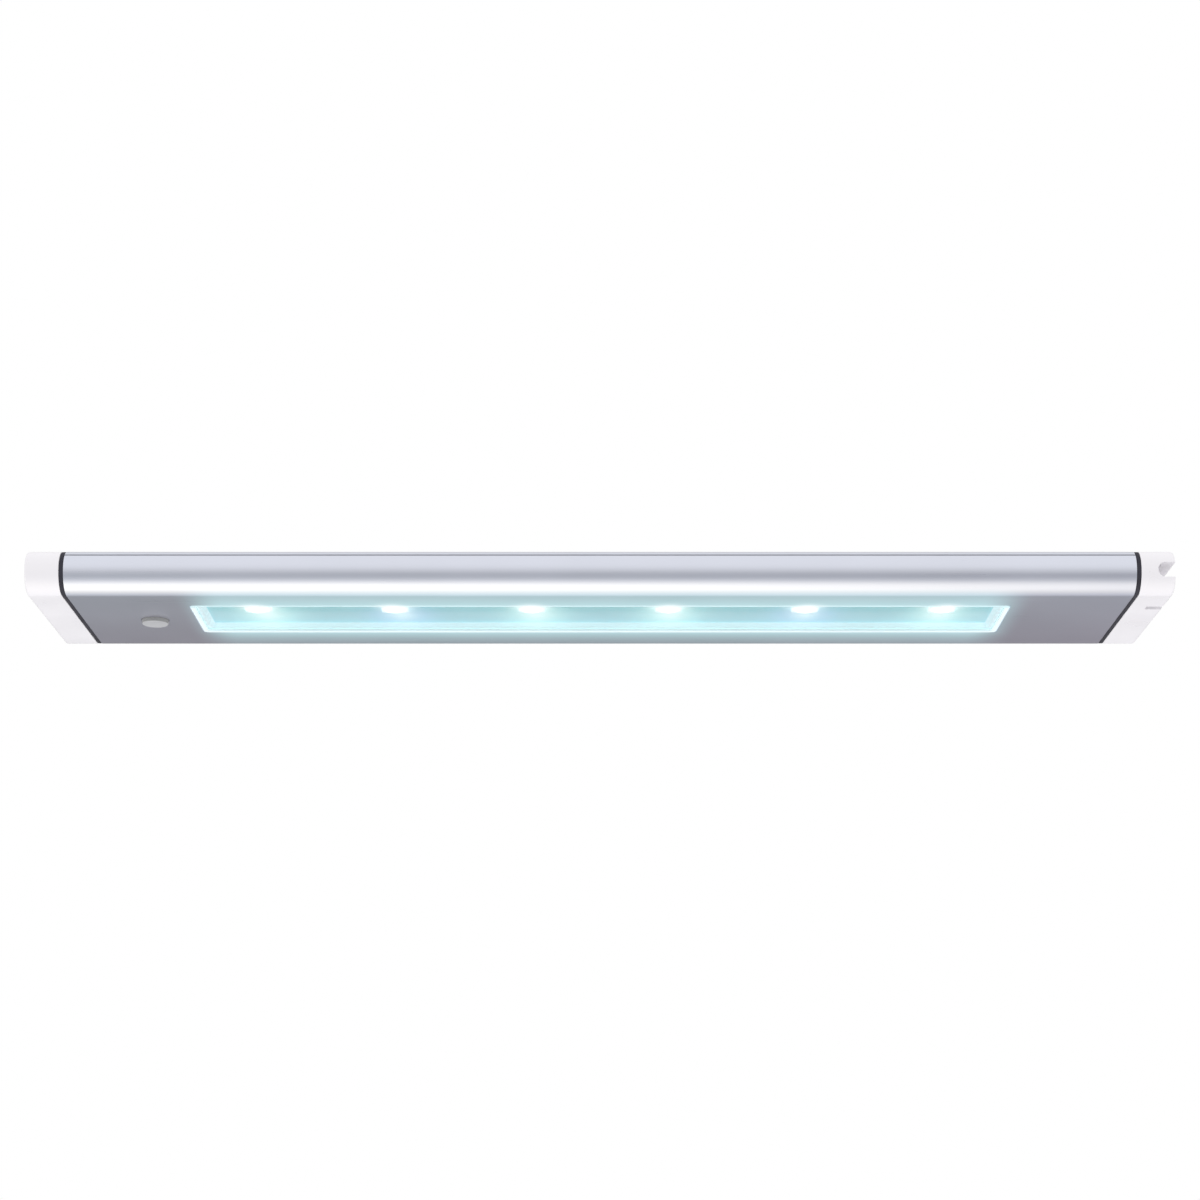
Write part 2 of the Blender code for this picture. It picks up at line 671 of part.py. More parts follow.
def make_led_clusters():
    """Round light sources in a row, each a base disc with a low clear dome facing down."""
    rise = LED_DOME_HEIGHT
    dome_radius = (LED_DOME_RADIUS ** 2 + rise ** 2) / (2 * rise)
    half_angle = math.degrees(math.asin(LED_DOME_RADIUS / dome_radius))
    dome = arc((0, dome_radius - rise - LED_BASE_HEIGHT), dome_radius, half_angle - 90, -90,
               DOME_STEPS)
    profile = [(0, 0), (LED_BASE_RADIUS, 0), (LED_BASE_RADIUS, -LED_BASE_HEIGHT)]
    profile += dome[:-1] + [(0, -LED_BASE_HEIGHT - rise)]
    for number in range(LED_COUNT):
        x = (number - (LED_COUNT - 1) / 2) * LED_PITCH
        turned_part(f"led_cluster_{number + 1}", profile, "led_dome",
                    (x, LED_ROW_Y, level(BOARD_BOTTOM - GAP)), steps=MEDIUM_STEPS)


# ---- controller and button ----------------------------------------------------------------------
def make_controller():
    half_width = CONTROL_WIDTH / 2
    board_part("controller_board", (CONTROL_LEFT, -half_width), (CONTROL_RIGHT, half_width),
               CONTROL_BOTTOM, CONTROL_TOP, control_screw_places(), "board_green")
    for name, place in zip(("front", "rear"), control_screw_places()):
        small_screw(f"controller_screw_{name}", place, CONTROL_BOTTOM)
    below_board = CONTROL_BOTTOM - GAP
    for name, size, place, finish_name in (
            ("driver_chip", DRIVER_CHIP, DRIVER_CHIP_PLACE, "black_plastic"),
            ("control_chip", CONTROL_CHIP, CONTROL_CHIP_PLACE, "black_plastic"),
            ("input_capacitor", CAPACITOR, CAPACITOR_PLACE, "brass")):
        middle = below_board - size[2] / 2
        add_part(name, box_mesh(name, size, CHIP_EDGE), finish_name, (*place, level(middle)))
    inner = INDUCTOR_RADIUS - INDUCTOR_EDGE
    profile = [(0, 0), (inner, 0), (INDUCTOR_RADIUS, -INDUCTOR_EDGE),
               (INDUCTOR_RADIUS, INDUCTOR_EDGE - INDUCTOR_HEIGHT), (inner, -INDUCTOR_HEIGHT),
               (0, -INDUCTOR_HEIGHT)]
    turned_part("power_inductor", profile, "ferrite", (*INDUCTOR_PLACE, level(below_board)),
                steps=MEDIUM_STEPS)


def make_button():
    """Push button: a round cap held by an inner flange, a washer seal and the switch above."""
    face = -BUTTON_PROUD
    profile = [(0, BUTTON_FLANGE_TOP), (BUTTON_FLANGE, BUTTON_FLANGE_TOP),
               (BUTTON_FLANGE, BUTTON_FLANGE_BOTTOM), (BUTTON_RADIUS, BUTTON_FLANGE_BOTTOM),
               (BUTTON_RADIUS, face + BUTTON_EDGE), (BUTTON_RADIUS - BUTTON_EDGE, face),
               (0, face)]
    turned_part("button_cap", profile, "button_grey", (BUTTON_X, 0, level(0)))
    turned_part("button_seal", [(BUTTON_RADIUS + FIT, BUTTON_SEAL_TOP),
                                (BUTTON_SEAL_OUTER, BUTTON_SEAL_TOP),
                                (BUTTON_SEAL_OUTER, BUTTON_SEAL_BOTTOM),
                                (BUTTON_RADIUS + FIT, BUTTON_SEAL_BOTTOM)],
                "gasket_rubber", (BUTTON_X, 0, level(0)))
    height = SWITCH_TOP - SWITCH_BOTTOM
    mesh = box_mesh("switch_body", (SWITCH_SIZE, SWITCH_SIZE, height), SWITCH_EDGE)
    switch = add_part("switch_body", mesh, "black_plastic",
                      (BUTTON_X, 0, level(SWITCH_BOTTOM + height / 2)))
    drill_up(switch, "switch_bore_cut", BUTTON_X, 0, SWITCH_BORE, SWITCH_BOTTOM - GAP,
             SWITCH_BORE_TOP, MEDIUM_STEPS)
    turned_part("switch_plunger", [(0, PLUNGER_TOP), (PLUNGER_RADIUS, PLUNGER_TOP),
                                   (PLUNGER_RADIUS, PLUNGER_BOTTOM), (0, PLUNGER_BOTTOM)],
                "switch_plunger", (BUTTON_X, 0, level(0)), steps=MEDIUM_STEPS)


# ---- end caps -----------------------------------------------------------------------------------
def cap_mesh(name, side):
    """The cap's body, with the edge of its outer end rounded."""
    mesh, location = section_mesh(name, [envelope()], CAP_START, LENGTH / 2)
    shape = bmesh.new()
    shape.from_mesh(mesh)
    outer_plane = side * CAP_LENGTH / 2
    rim = [edge for edge in shape.edges
           if all(abs(vertex.co.z - outer_plane) < GAP for vertex in edge.verts)]
    bmesh.ops.bevel(shape, geom=rim, offset=CAP_EDGE_ROUND, segments=3, profile=0.5,
                    affect="EDGES")
    shape.to_mesh(mesh)
    shape.free()
    return mesh, (side * location[0], location[1], location[2])


def cap_part(name, side, pocket_depth):
    """An end cap with a pocket towards the bar and two countersunk screw holes."""
    mesh, location = cap_mesh(name, side)
    cap = add_part(name, mesh, "white_cap", location, ALONG_X)
    pocket = rounded_rectangle((-CAP_POCKET_Y, CAP_POCKET_BOTTOM), (CAP_POCKET_Y, CAP_POCKET_TOP),
                               CAP_POCKET_ROUND)
    ends = sorted((side * (CAP_START - GASKET_SPACE), side * (CAP_START + pocket_depth)))
    boolean(cap, section_cutter(name + "_pocket_cut", [pocket], *ends))
    for place, y in (("front", -SCREW_PORT_Y), ("rear", SCREW_PORT_Y)):
        label = f"{name}_{place}"
        drill_along(cap, label + "_clear_cut", y, SCREW_PORT_LEVEL, SCREW_CLEAR,
                    side * (CAP_START - GASKET_SPACE), side * (SCREW_SEAT_X + GAP),
                    MEDIUM_STEPS)
        drill_along(cap, label + "_counterbore_cut", y, SCREW_PORT_LEVEL, COUNTERBORE,
                    side * SCREW_SEAT_X, side * (LENGTH / 2 + GASKET_SPACE),
                    MEDIUM_STEPS)
    return cap


def cap_screw(name, side, y):
    """A socket screw lying along X, its head in the cap's counterbore."""
    seat = SCREW_SEAT_X + GAP
    top = SCREW_HEAD_HEIGHT
    profile = [(0, top), (SCREW_HEAD - GAP, top), (SCREW_HEAD, top - GAP), (SCREW_HEAD, 0),
               (SCREW_SHANK, 0), (SCREW_SHANK, -SCREW_LENGTH), (0, -SCREW_LENGTH)]
    screw = turned_part(name, profile, "steel", (side * seat, y, level(SCREW_PORT_LEVEL)),
                        (0, side * math.pi / 2, 0), MEDIUM_STEPS)
    drill_along(screw, name + "_socket_cut", y, SCREW_PORT_LEVEL, HEX_SOCKET,
                side * (seat + top - HEX_DEPTH), side * (seat + top + HEX_DEPTH), HEX_SIDES)


def gasket_part(name, side):
    hole = rounded_rectangle((-GASKET_HOLE_Y, GASKET_HOLE_BOTTOM),
                             (GASKET_HOLE_Y, GASKET_HOLE_TOP), CAP_POCKET_ROUND)
    screws = [circle((rank * SCREW_PORT_Y, SCREW_PORT_LEVEL), SCREW_CLEAR, MEDIUM_STEPS)
              for rank in (-1, 1)]
    ends = sorted((side * (METAL_END + FIT), side * (CAP_START - FIT)))
    section_part(name, [envelope(), hole, *screws], *ends, "gasket_rubber")


def channel_outline():
    """Plan of the cable channel in the right cap's end face: a U on its side, as (X, level)."""
    radius = (CHANNEL_TOP - CHANNEL_BOTTOM) / 2
    middle = CHANNEL_BOTTOM + radius
    inner = LENGTH / 2 - CHANNEL_DEPTH + radius
    outer = LENGTH / 2 + GASKET_SPACE
    return [(outer, CHANNEL_TOP)] + arc((inner, middle), radius, 90, 270) + [
        (outer, CHANNEL_BOTTOM)]


def cut_cable_channel(cap):
    """The channel runs the whole depth of the cap; a tie slot opens it to the underside."""
    mesh = solid_from_outlines("cable_channel_cut", [channel_outline()], DEPTH + 2 * CAP_LENGTH)
    boolean(cap, add_cutter("cable_channel_cut", mesh, (0, 0, level(0)), (math.pi / 2, 0, 0)))
    size = (CHANNEL_DEPTH + GASKET_SPACE, TIE_SLOT_WIDTH, CHANNEL_BOTTOM + 2 * GASKET_SPACE)
    location = (LENGTH / 2 - CHANNEL_DEPTH + size[0] / 2, TIE_SLOT_Y,
                level(CHANNEL_BOTTOM + GASKET_SPACE - size[2] / 2))
    boolean(cap, add_cutter("tie_slot_cut", box_mesh("tie_slot_cut", size), location))


def make_ends():
    left = cap_part("left_end_cap", -1, LEFT_POCKET_DEPTH)
    right = cap_part("right_end_cap", 1, RIGHT_POCKET_DEPTH)
    cut_cable_channel(right)
    drill_along(left, "inlet_hole_cut", 0, INLET_LEVEL, INLET_HOLE, -LENGTH / 2,
                -(INLET_NUT_POCKET_END - GASKET_SPACE))
    drill_along(left, "inlet_nut_pocket_cut", 0, INLET_LEVEL, INLET_NUT_POCKET_RADIUS,
                -INLET_NUT_POCKET_END, -METAL_END)
    drill_along(left, "inlet_recess_cut", 0, INLET_LEVEL, INLET_RECESS_RADIUS,
                -(LENGTH / 2 - INLET_RECESS_DEPTH), -(LENGTH / 2 + GASKET_SPACE))
    for name, side in (("left", -1), ("right", 1)):
        gasket_part(name + "_gasket", side)
        for place, y in (("front", -SCREW_PORT_Y), ("rear", SCREW_PORT_Y)):
            cap_screw(f"{name}_cap_screw_{place}", side, y)


# ---- power inlet --------------------------------------------------------------------------------
FACING_LEFT = (0, -math.pi / 2, 0)      # local +Z points out of the left end


def inlet_part(name, profile, finish_name, steps=ROUND_STEPS):
    """A turned piece of the inlet; profile heights are distances left of the bar's middle."""
    return turned_part(name, profile, finish_name, (0, 0, level(INLET_LEVEL)), FACING_LEFT, steps)


def make_inlet():
    inlet_part("inlet_shell", [
        (INLET_BORE, INLET_FLANGE_OUT), (INLET_FLANGE_RADIUS, INLET_FLANGE_OUT),
        (INLET_FLANGE_RADIUS, INLET_FLANGE_IN), (INLET_BARREL_RADIUS, INLET_FLANGE_IN),
        (INLET_BARREL_RADIUS, INLET_BARREL_END), (INLET_PIN_HOLE, INLET_BARREL_END),
        (INLET_PIN_HOLE, INLET_BORE_END), (INLET_BORE, INLET_BORE_END)], "black_plastic")
    inlet_part("inlet_pin", [
        (0, INLET_PIN_OUT), (INLET_PIN_RADIUS, INLET_PIN_OUT - GAP),
        (INLET_PIN_RADIUS, INLET_PIN_TAIL), (0, INLET_PIN_TAIL)], "brass", SMALL_STEPS)
    inlet_part("inlet_seal", [
        (INLET_SEAL_INNER, INLET_SEAL_OUT), (INLET_SEAL_OUTER, INLET_SEAL_OUT),
        (INLET_SEAL_OUTER, INLET_SEAL_IN), (INLET_SEAL_INNER, INLET_SEAL_IN)], "gasket_rubber")
    centre = (0, INLET_LEVEL)
    section_part("inlet_nut", [circle(centre, INLET_NUT_RADIUS, HEX_SIDES),
                               circle(centre, INLET_HOLE)],
                 -INLET_NUT_OUT, -INLET_NUT_IN, "steel")


def make_leads():
    """Insulated wires: two from the inlet to the controller, three on to the LED board."""
    board_z = level(CONTROL_BOTTOM - GAP - LEAD_RADIUS)
    board_x = CONTROL_LEFT + LEAD_INSET
    for name, start_x, start_y, end_y, finish_name in (
            ("power_lead_positive", INLET_PIN_TAIL, 0, LEAD_SPREAD, "lead_red"),
            ("power_lead_negative", INLET_BARREL_END, INLET_LEAD_Y, -LEAD_SPREAD, "lead_black")):
        start_x = GAP - start_x
        start_z = level(INLET_LEVEL)
        lead_part(name, [
            (start_x, start_y, start_z), (start_x + LEAD_PULL, start_y, start_z - LEAD_PULL / 2),
            (board_x - LEAD_PULL, end_y, board_z), (board_x, end_y, board_z)], finish_name)
    led_z = level(BOARD_BOTTOM - GAP - LEAD_RADIUS)
    start_x = CONTROL_RIGHT - LEAD_INSET
    end_x = LED_LEAD_INSET - BOARD_HALF_LENGTH
    for number in range(LED_LEAD_COUNT):
        y = LED_LEAD_Y + (number - (LED_LEAD_COUNT - 1) / 2) * LED_LEAD_PITCH
        lead_part(f"led_lead_{number + 1}", [
            (start_x, y, board_z), (start_x + LEAD_PULL, y, board_z),
            (end_x - LEAD_PULL, y, led_z), (end_x, y, led_z)], "lead_white")


clear_scene()
PARTS = new_collection("led_light_bar")
CUTTERS = new_collection("cutters")
make_lower_housing()
make_top_heat_sink()
make_window()
make_led_board()
make_led_clusters()
make_controller()
make_button()
make_ends()
make_inlet()
make_leads()
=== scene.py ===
"""Looks of the slim LED light bar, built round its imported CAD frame.

Every shell, trim piece and light source that shows is remade here as a fine mesh at the place and
size of its CAD node; pieces that stay hidden inside keep their CAD shape and get a better finish.
"""
import json
import math

import bmesh
import bpy
from mathutils import Matrix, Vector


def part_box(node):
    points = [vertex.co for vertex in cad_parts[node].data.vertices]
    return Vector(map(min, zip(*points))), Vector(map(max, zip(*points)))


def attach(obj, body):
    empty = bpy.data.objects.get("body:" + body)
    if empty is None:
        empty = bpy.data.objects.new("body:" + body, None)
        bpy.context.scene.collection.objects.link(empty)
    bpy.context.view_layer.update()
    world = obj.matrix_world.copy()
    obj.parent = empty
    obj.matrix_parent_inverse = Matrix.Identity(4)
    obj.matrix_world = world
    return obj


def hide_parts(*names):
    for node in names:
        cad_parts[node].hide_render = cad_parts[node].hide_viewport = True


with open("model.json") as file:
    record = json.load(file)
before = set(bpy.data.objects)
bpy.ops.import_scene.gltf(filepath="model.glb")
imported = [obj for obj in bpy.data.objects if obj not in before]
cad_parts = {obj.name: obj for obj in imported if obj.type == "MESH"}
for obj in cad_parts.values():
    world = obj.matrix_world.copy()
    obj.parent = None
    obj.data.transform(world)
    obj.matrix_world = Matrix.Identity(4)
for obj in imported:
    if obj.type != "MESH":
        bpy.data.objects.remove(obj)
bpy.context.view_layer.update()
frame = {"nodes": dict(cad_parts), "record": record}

MM = 0.001
NODES = frame["nodes"]

# ---- places taken from the frame ----------------------------------------------------------------
HOUSING_LOW, HOUSING_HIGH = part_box("lower_housing")
COVER_LOW, COVER_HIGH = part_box("top_heat_sink")
RIGHT_CAP_LOW, RIGHT_CAP_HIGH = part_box("right_end_cap")
LENS_LOW, LENS_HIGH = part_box("window_lens")
BEZEL_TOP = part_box("window_bezel")[1].z
BOARD_LOW, BOARD_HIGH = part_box("led_board")
BUTTON_LOW, BUTTON_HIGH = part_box("button_cap")
LAMP_LOW, LAMP_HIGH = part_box("led_cluster_1")

UNDERSIDE = HOUSING_LOW.z
TOP = COVER_HIGH.z
SIDE_Y = HOUSING_HIGH.y
METAL_END = HOUSING_HIGH.x
CAP_START = RIGHT_CAP_LOW.x
BAR_END = RIGHT_CAP_HIGH.x

# ---- section of the bar, as levels above the underside ------------------------------------------
HEIGHT = TOP - UNDERSIDE
EDGE_LEVEL = 6.8 * MM
LOWER_RADIUS = 6.8 * MM
UPPER_RADIUS = 5.1 * MM
LOWER_ARC_Y = SIDE_Y - LOWER_RADIUS
UPPER_ARC_Y = SIDE_Y - UPPER_RADIUS
CROWN_Y = 21.0 * MM
SEAM_LEVEL = HOUSING_HIGH.z - UNDERSIDE
SEAM_GAP = 0.22 * MM
WALL = 1.6 * MM
LIP_Y = 28.2 * MM
SCREW_Y = 26.4 * MM
SCREW_LEVEL = 5.2 * MM
SLOT_Y = 15.0 * MM
SLOT_MOUTH = 3.4 * MM
SLOT_WIDTH = 6.4 * MM
SLOT_DEPTH = 2.7 * MM
SLOT_LIP = 0.9 * MM
FIN_GROOVES = (7.9 * MM, 21.4 * MM, 24.6 * MM)
FIN_GROOVE_WIDTH = 1.8 * MM
FIN_GROOVE_DEPTH = 2.2 * MM

# ---- light sources ------------------------------------------------------------------------------
LAMP_PITCH = 38.2 * MM
LAMP_COUNT = 6
LAMP_Y = (LAMP_LOW.y + LAMP_HIGH.y) / 2
LAMP_CORE, LAMP_RIM = 1.8, 1.7          # strength over the dies and over the whole package
LAMP_COLOURS = {"led_cyan": (0.80, 1.0, 1.0), "led_violet": (0.84, 0.88, 1.0)}
VIOLET_LAMPS = (2, 5)

# ---- fineness of the meshes ---------------------------------------------------------------------
FINE_ARC = 24
FINE_TURN = 96
EDGE_BREAK = 0.14 * MM
SMOOTH_ANGLE = math.radians(38)
LEVEL_FACE, DOWNWARD_FACE = 0.9, 0.5    # least upright share of a face's normal
CAD_SMOOTH_ANGLE = math.radians(30)
WELD = 0.001 * MM
FLAT_ANGLE = math.radians(0.5)

# ---- window -------------------------------------------------------------------------------------
WINDOW_GAP = 0.2 * MM
LENS_GAP = 0.2 * MM
BEZEL_RIM = 1.1 * MM
WINDOW_HALF_LENGTH = LENS_HIGH.x + LENS_GAP + BEZEL_RIM + WINDOW_GAP
WINDOW_HALF_WIDTH = (LENS_HIGH.y - LENS_LOW.y) / 2 + LENS_GAP + BEZEL_RIM + WINDOW_GAP
WINDOW_Y = (LENS_HIGH.y + LENS_LOW.y) / 2
WINDOW_FRONT = WINDOW_Y - WINDOW_HALF_WIDTH
WINDOW_ROUND = 1.5 * MM


# ---- shapes -------------------------------------------------------------------------------------
def arc(centre, radius, start, end, steps=FINE_ARC):
    points = []
    for step in range(steps + 1):
        angle = math.radians(start + (end - start) * step / steps)
        points.append((centre[0] + radius * math.cos(angle), centre[1] + radius * math.sin(angle)))
    return points


def circle(centre, radius, steps=FINE_TURN):
    return arc(centre, radius, 0, 360 - 360 / steps, steps - 1)


def rounded_rectangle(low, high, radius, steps=8):
    corners = ((high[0] - radius, low[1] + radius, -90), (high[0] - radius, high[1] - radius, 0),
               (low[0] + radius, high[1] - radius, 90), (low[0] + radius, low[1] + radius, 180))
    points = []
    for x, y, start in corners:
        points += arc((x, y), radius, start, start + 90, steps)
    return points


def with_mirror(half):
    return half + [(-x, y) for x, y in reversed(half)]


def extruded_mesh(name, outlines, thickness):
    """Closed outlines extruded by a thickness centred on their plane, caps welded to sides."""
    curve = bpy.data.curves.new(name, "CURVE")
    curve.dimensions = "2D"
    curve.fill_mode = "BOTH"
    curve.extrude = thickness / 2
    for outline in outlines:
        spline = curve.splines.new("POLY")
        spline.points.add(len(outline) - 1)
        for point, (x, y) in zip(spline.points, outline):
            point.co = (x, y, 0.0, 1.0)
        spline.use_cyclic_u = True
    holder = bpy.data.objects.new(name + "_outline", curve)
    bpy.context.scene.collection.objects.link(holder)
    depsgraph = bpy.context.evaluated_depsgraph_get()
    mesh = bpy.data.meshes.new_from_object(holder.evaluated_get(depsgraph))
    bpy.data.objects.remove(holder, do_unlink=True)
    bpy.data.curves.remove(curve)
    shape = bmesh.new()
    shape.from_mesh(mesh)
    bmesh.ops.remove_doubles(shape, verts=shape.verts, dist=WELD)
    bmesh.ops.dissolve_limit(shape, angle_limit=FLAT_ANGLE, verts=shape.verts, edges=shape.edges)
    bmesh.ops.recalc_face_normals(shape, faces=shape.faces)
    shape.to_mesh(mesh)
    shape.free()
    return mesh


# turns a drawing's first axis to Y, its second to Z and the way it is extruded to X
SECTION_AXES = Matrix(((0, 0, 1, 0), (1, 0, 0, 0), (0, 1, 0, 0), (0, 0, 0, 1)))


def section_mesh(name, outlines, x_from, x_to):
    """Outlines of (Y, level) extruded along X."""
    mesh = extruded_mesh(name, outlines, x_to - x_from)
    mesh.transform(Matrix.Translation(((x_from + x_to) / 2, 0, UNDERSIDE)) @ SECTION_AXES)
    return mesh


def plate_mesh(name, outlines, bottom, top):
    """Plan outlines extruded between two heights."""
    mesh = extruded_mesh(name, outlines, top - bottom)
    mesh.transform(Matrix.Translation((0, 0, (bottom + top) / 2)))
    return mesh


def box_mesh(name, low, high, taper=1.0):
    """A box between two corners; taper shrinks its top along X."""
    mesh = bpy.data.meshes.new(name)
    shape = bmesh.new()
    bmesh.ops.create_cube(shape, size=1.0)
    for vertex in shape.verts:
        share = [coordinate + 0.5 for coordinate in vertex.co]
        scale = taper if share[2] > 0.5 else 1.0
        middle = (low[0] + high[0]) / 2
        x = low[0] + (high[0] - low[0]) * share[0]
        vertex.co = (middle + (x - middle) * scale,
                     low[1] + (high[1] - low[1]) * share[1],
                     low[2] + (high[2] - low[2]) * share[2])
    shape.to_mesh(mesh)
    shape.free()
    return mesh


def turned_mesh(name, profile, place, axis_matrix=None, steps=FINE_TURN):
    """A profile of (radius, height) points from top to bottom, turned about its own Z axis.

    A profile that starts off the axis is a closed loop.
    """
    shape = bmesh.new()
    angles = [math.tau * step / steps for step in range(steps)]
    rings = [[shape.verts.new((radius * math.cos(angle), radius * math.sin(angle), height))
              for angle in (angles if radius > 0 else angles[:1])]
             for radius, height in profile]
    if profile[0][0] > 0:
        rings.append(rings[0])
    for upper, lower in zip(rings, rings[1:]):
        for step in range(steps):
            corners = [ring[turn % len(ring)] for ring, turn in (
                (upper, step), (upper, step + 1), (lower, step + 1), (lower, step))]
            corners = list(dict.fromkeys(corners))
            if len(corners) > 2:
                shape.faces.new(corners)
    bmesh.ops.recalc_face_normals(shape, faces=shape.faces)
    mesh = bpy.data.meshes.new(name)
    shape.to_mesh(mesh)
    shape.free()
    mesh.transform(Matrix.Translation(place) @ (axis_matrix or Matrix.Identity(4)))
    return mesh


def new_object(name, mesh):
    obj = bpy.data.objects.new(name, mesh)
    bpy.context.scene.collection.objects.link(obj)
    return obj


def bake_modifiers(obj):
    """Replaces the object's mesh with its evaluated one and clears its modifiers."""
    depsgraph = bpy.context.evaluated_depsgraph_get()
    mesh = bpy.data.meshes.new_from_object(obj.evaluated_get(depsgraph))
    mesh.name = obj.name
    obj.modifiers.clear()
    obj.data = mesh


def cut(obj, cutters):
    """Cuts the given meshes away, one after another."""
    for mesh in cutters:
        tool = new_object("tool", mesh)
        modifier = obj.modifiers.new("boolean", "BOOLEAN")
        modifier.operation = "DIFFERENCE"
        modifier.solver = "EXACT"
        modifier.object = tool
        bake_modifiers(obj)
        bpy.data.objects.remove(tool, do_unlink=True)


def break_edges(obj, width=EDGE_BREAK, segments=2):
    """Small rounds on every hard edge, with shading that keeps the flats flat."""
    bevel = obj.modifiers.new("edge", "BEVEL")
    bevel.width = width
    bevel.segments = segments
    bevel.limit_method = "ANGLE"
    bevel.angle_limit = SMOOTH_ANGLE
    bevel.miter_outer = "MITER_ARC"
    bake_modifiers(obj)
    shade(obj)
    obj.modifiers.new("normals", "WEIGHTED_NORMAL").keep_sharp = True


def shade(obj, angle=SMOOTH_ANGLE):
    obj.data.shade_smooth()
    obj.data.set_sharp_from_angle(angle=angle)


def dress(obj, material, body, slot, *replaced):
    """Gives a piece its finish, its body and the CAD nodes that it stands for."""
    obj.data.materials.clear()
    for one in material if isinstance(material, tuple) else (material,):
        obj.data.materials.append(one)
    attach(obj, body)
    if replaced:
        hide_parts(*replaced)
    return obj


# ---- materials ----------------------------------------------------------------------------------
BLACK = (0.0, 0.0, 0.0)
RESIN_GRAIN = 1800.0        # noise scale of solder mask and lamp packages, coarser than mouldings


class Finish:
    """One Principled material and the small set of nodes that its texture is made of."""

    def __init__(self, name, colour, roughness, metallic=0.0):
        self.material = bpy.data.materials.new(name)
        self.material.use_nodes = True
        self.tree = self.material.node_tree
        self.shader = self.tree.nodes["Principled BSDF"]
        self.set("Base Color", (*colour, 1.0))
        self.set("Roughness", roughness)
        self.set("Metallic", metallic)
        self.coordinates = self.tree.nodes.new("ShaderNodeTexCoord").outputs["Object"]
        self.colour = colour
        self.roughness = roughness

    def set(self, socket, value):
        self.shader.inputs[socket].default_value = value

    def link(self, output, socket):
        self.tree.links.new(output, socket)

    def stretched(self, scale):
        """Object coordinates scaled per axis, for grain with a direction."""
        mapping = self.tree.nodes.new("ShaderNodeMapping")
        mapping.inputs["Scale"].default_value = scale
        self.link(self.coordinates, mapping.inputs["Vector"])
        return mapping.outputs["Vector"]

    def noise(self, scale, detail=3.0, vector=None, roughness=0.5):
        node = self.tree.nodes.new("ShaderNodeTexNoise")
        node.inputs["Scale"].default_value = scale
        node.inputs["Detail"].default_value = detail
        node.inputs["Roughness"].default_value = roughness
        self.link(vector or self.coordinates, node.inputs["Vector"])
        return node.outputs["Fac"]

    def math(self, operation, a, b=0.0, clamp=False):
        node = self.tree.nodes.new("ShaderNodeMath")
        node.operation = operation
        node.use_clamp = clamp
        for socket, value in zip(node.inputs, (a, b)):
            if isinstance(value, (int, float)):
                socket.default_value = value
            else:
                self.link(value, socket)
        return node.outputs["Value"]

    def between(self, fac, low, high, start=0.3, stop=0.7):
        """Low to high as fac runs from start to stop, at first over the middle of a noise."""
        node = self.tree.nodes.new("ShaderNodeMapRange")
        for socket, value in (("From Min", start), ("From Max", stop), ("To Min", low),
                              ("To Max", high)):
            node.inputs[socket].default_value = value
        self.link(fac, node.inputs["Value"])
        return node.outputs["Result"]

    def ease(self, value, start, stop):
        """0 at start and 1 at stop, with soft ends."""
        node = self.tree.nodes.new("ShaderNodeMapRange")
        node.interpolation_type = "SMOOTHSTEP"
        node.inputs["From Min"].default_value = start
        node.inputs["From Max"].default_value = stop
        self.link(value, node.inputs["Value"])
        return node.outputs["Result"]

    def axes(self):
        separate = self.tree.nodes.new("ShaderNodeSeparateXYZ")
        self.link(self.coordinates, separate.inputs["Vector"])
        return tuple(separate.outputs[axis] for axis in "XYZ")

    def bell(self, across, along, across_width, along_width):
        """Exponential of minus the squared distances, each over its own width."""
        squares = self.math("ADD", self.math("POWER", self.math("DIVIDE", across, across_width),
                                             2.0),
                            self.math("POWER", self.math("DIVIDE", along, along_width), 2.0))
        return self.math("EXPONENT", self.math("MULTIPLY", squares, -1.0))

    def mix(self, fac, first, second, blend="MIX"):
        """Colour mix; each input is an output or, for colours, a tuple."""
        node = self.tree.nodes.new("ShaderNodeMix")
        node.data_type = "RGBA"
        node.blend_type = blend
        for socket, value in zip((node.inputs[0], node.inputs[6], node.inputs[7]),
                                 (fac, first, second)):
            if isinstance(value, tuple):
                socket.default_value = (*value, 1.0)
            elif isinstance(value, (int, float)):
                socket.default_value = value
            else:
                self.link(value, socket)
        return node.outputs[2]

    def add_light(self, light, fac, colour):
        """Light plus a share of a colour; each is an output or, for colours, a tuple."""
        node = self.tree.nodes.new("ShaderNodeVectorMath")
        node.operation = "MULTIPLY_ADD"
        for value, socket in zip((colour, fac, light), node.inputs):
            if isinstance(value, tuple):
                socket.default_value = value
            else:
                self.link(value, socket)
        return node.outputs["Vector"]

    def vary_colour(self, fac, share):
        """Base colour lighter and darker by a share, as fac says."""
        dark = tuple(c * (1 - share) for c in self.colour)
        light = tuple(min(1.0, c * (1 + share)) for c in self.colour)
        colour = self.mix(self.between(fac, 0.0, 1.0), dark, light)
        self.link(colour, self.shader.inputs["Base Color"])
        return colour

    def tint(self, fac, colour):
        """Base colour multiplied by another colour, as far as fac says."""
        base = self.shader.inputs["Base Color"]
        self.link(self.mix(fac, base.links[0].from_socket, colour, "MULTIPLY"), base)

    def vary_roughness(self, fac, spread):
        value = self.between(fac, self.roughness - spread, self.roughness + spread)
        self.link(value, self.shader.inputs["Roughness"])

    def emit(self, light):
        self.link(light, self.shader.inputs["Emission Color"])
        self.set("Emission Strength", 1.0)

    def bump(self, height, strength, distance):
        node = self.tree.nodes.new("ShaderNodeBump")
        node.inputs["Strength"].default_value = strength
        node.inputs["Distance"].default_value = distance
        self.link(height, node.inputs["Height"])
        self.link(node.outputs["Normal"], self.shader.inputs["Normal"])


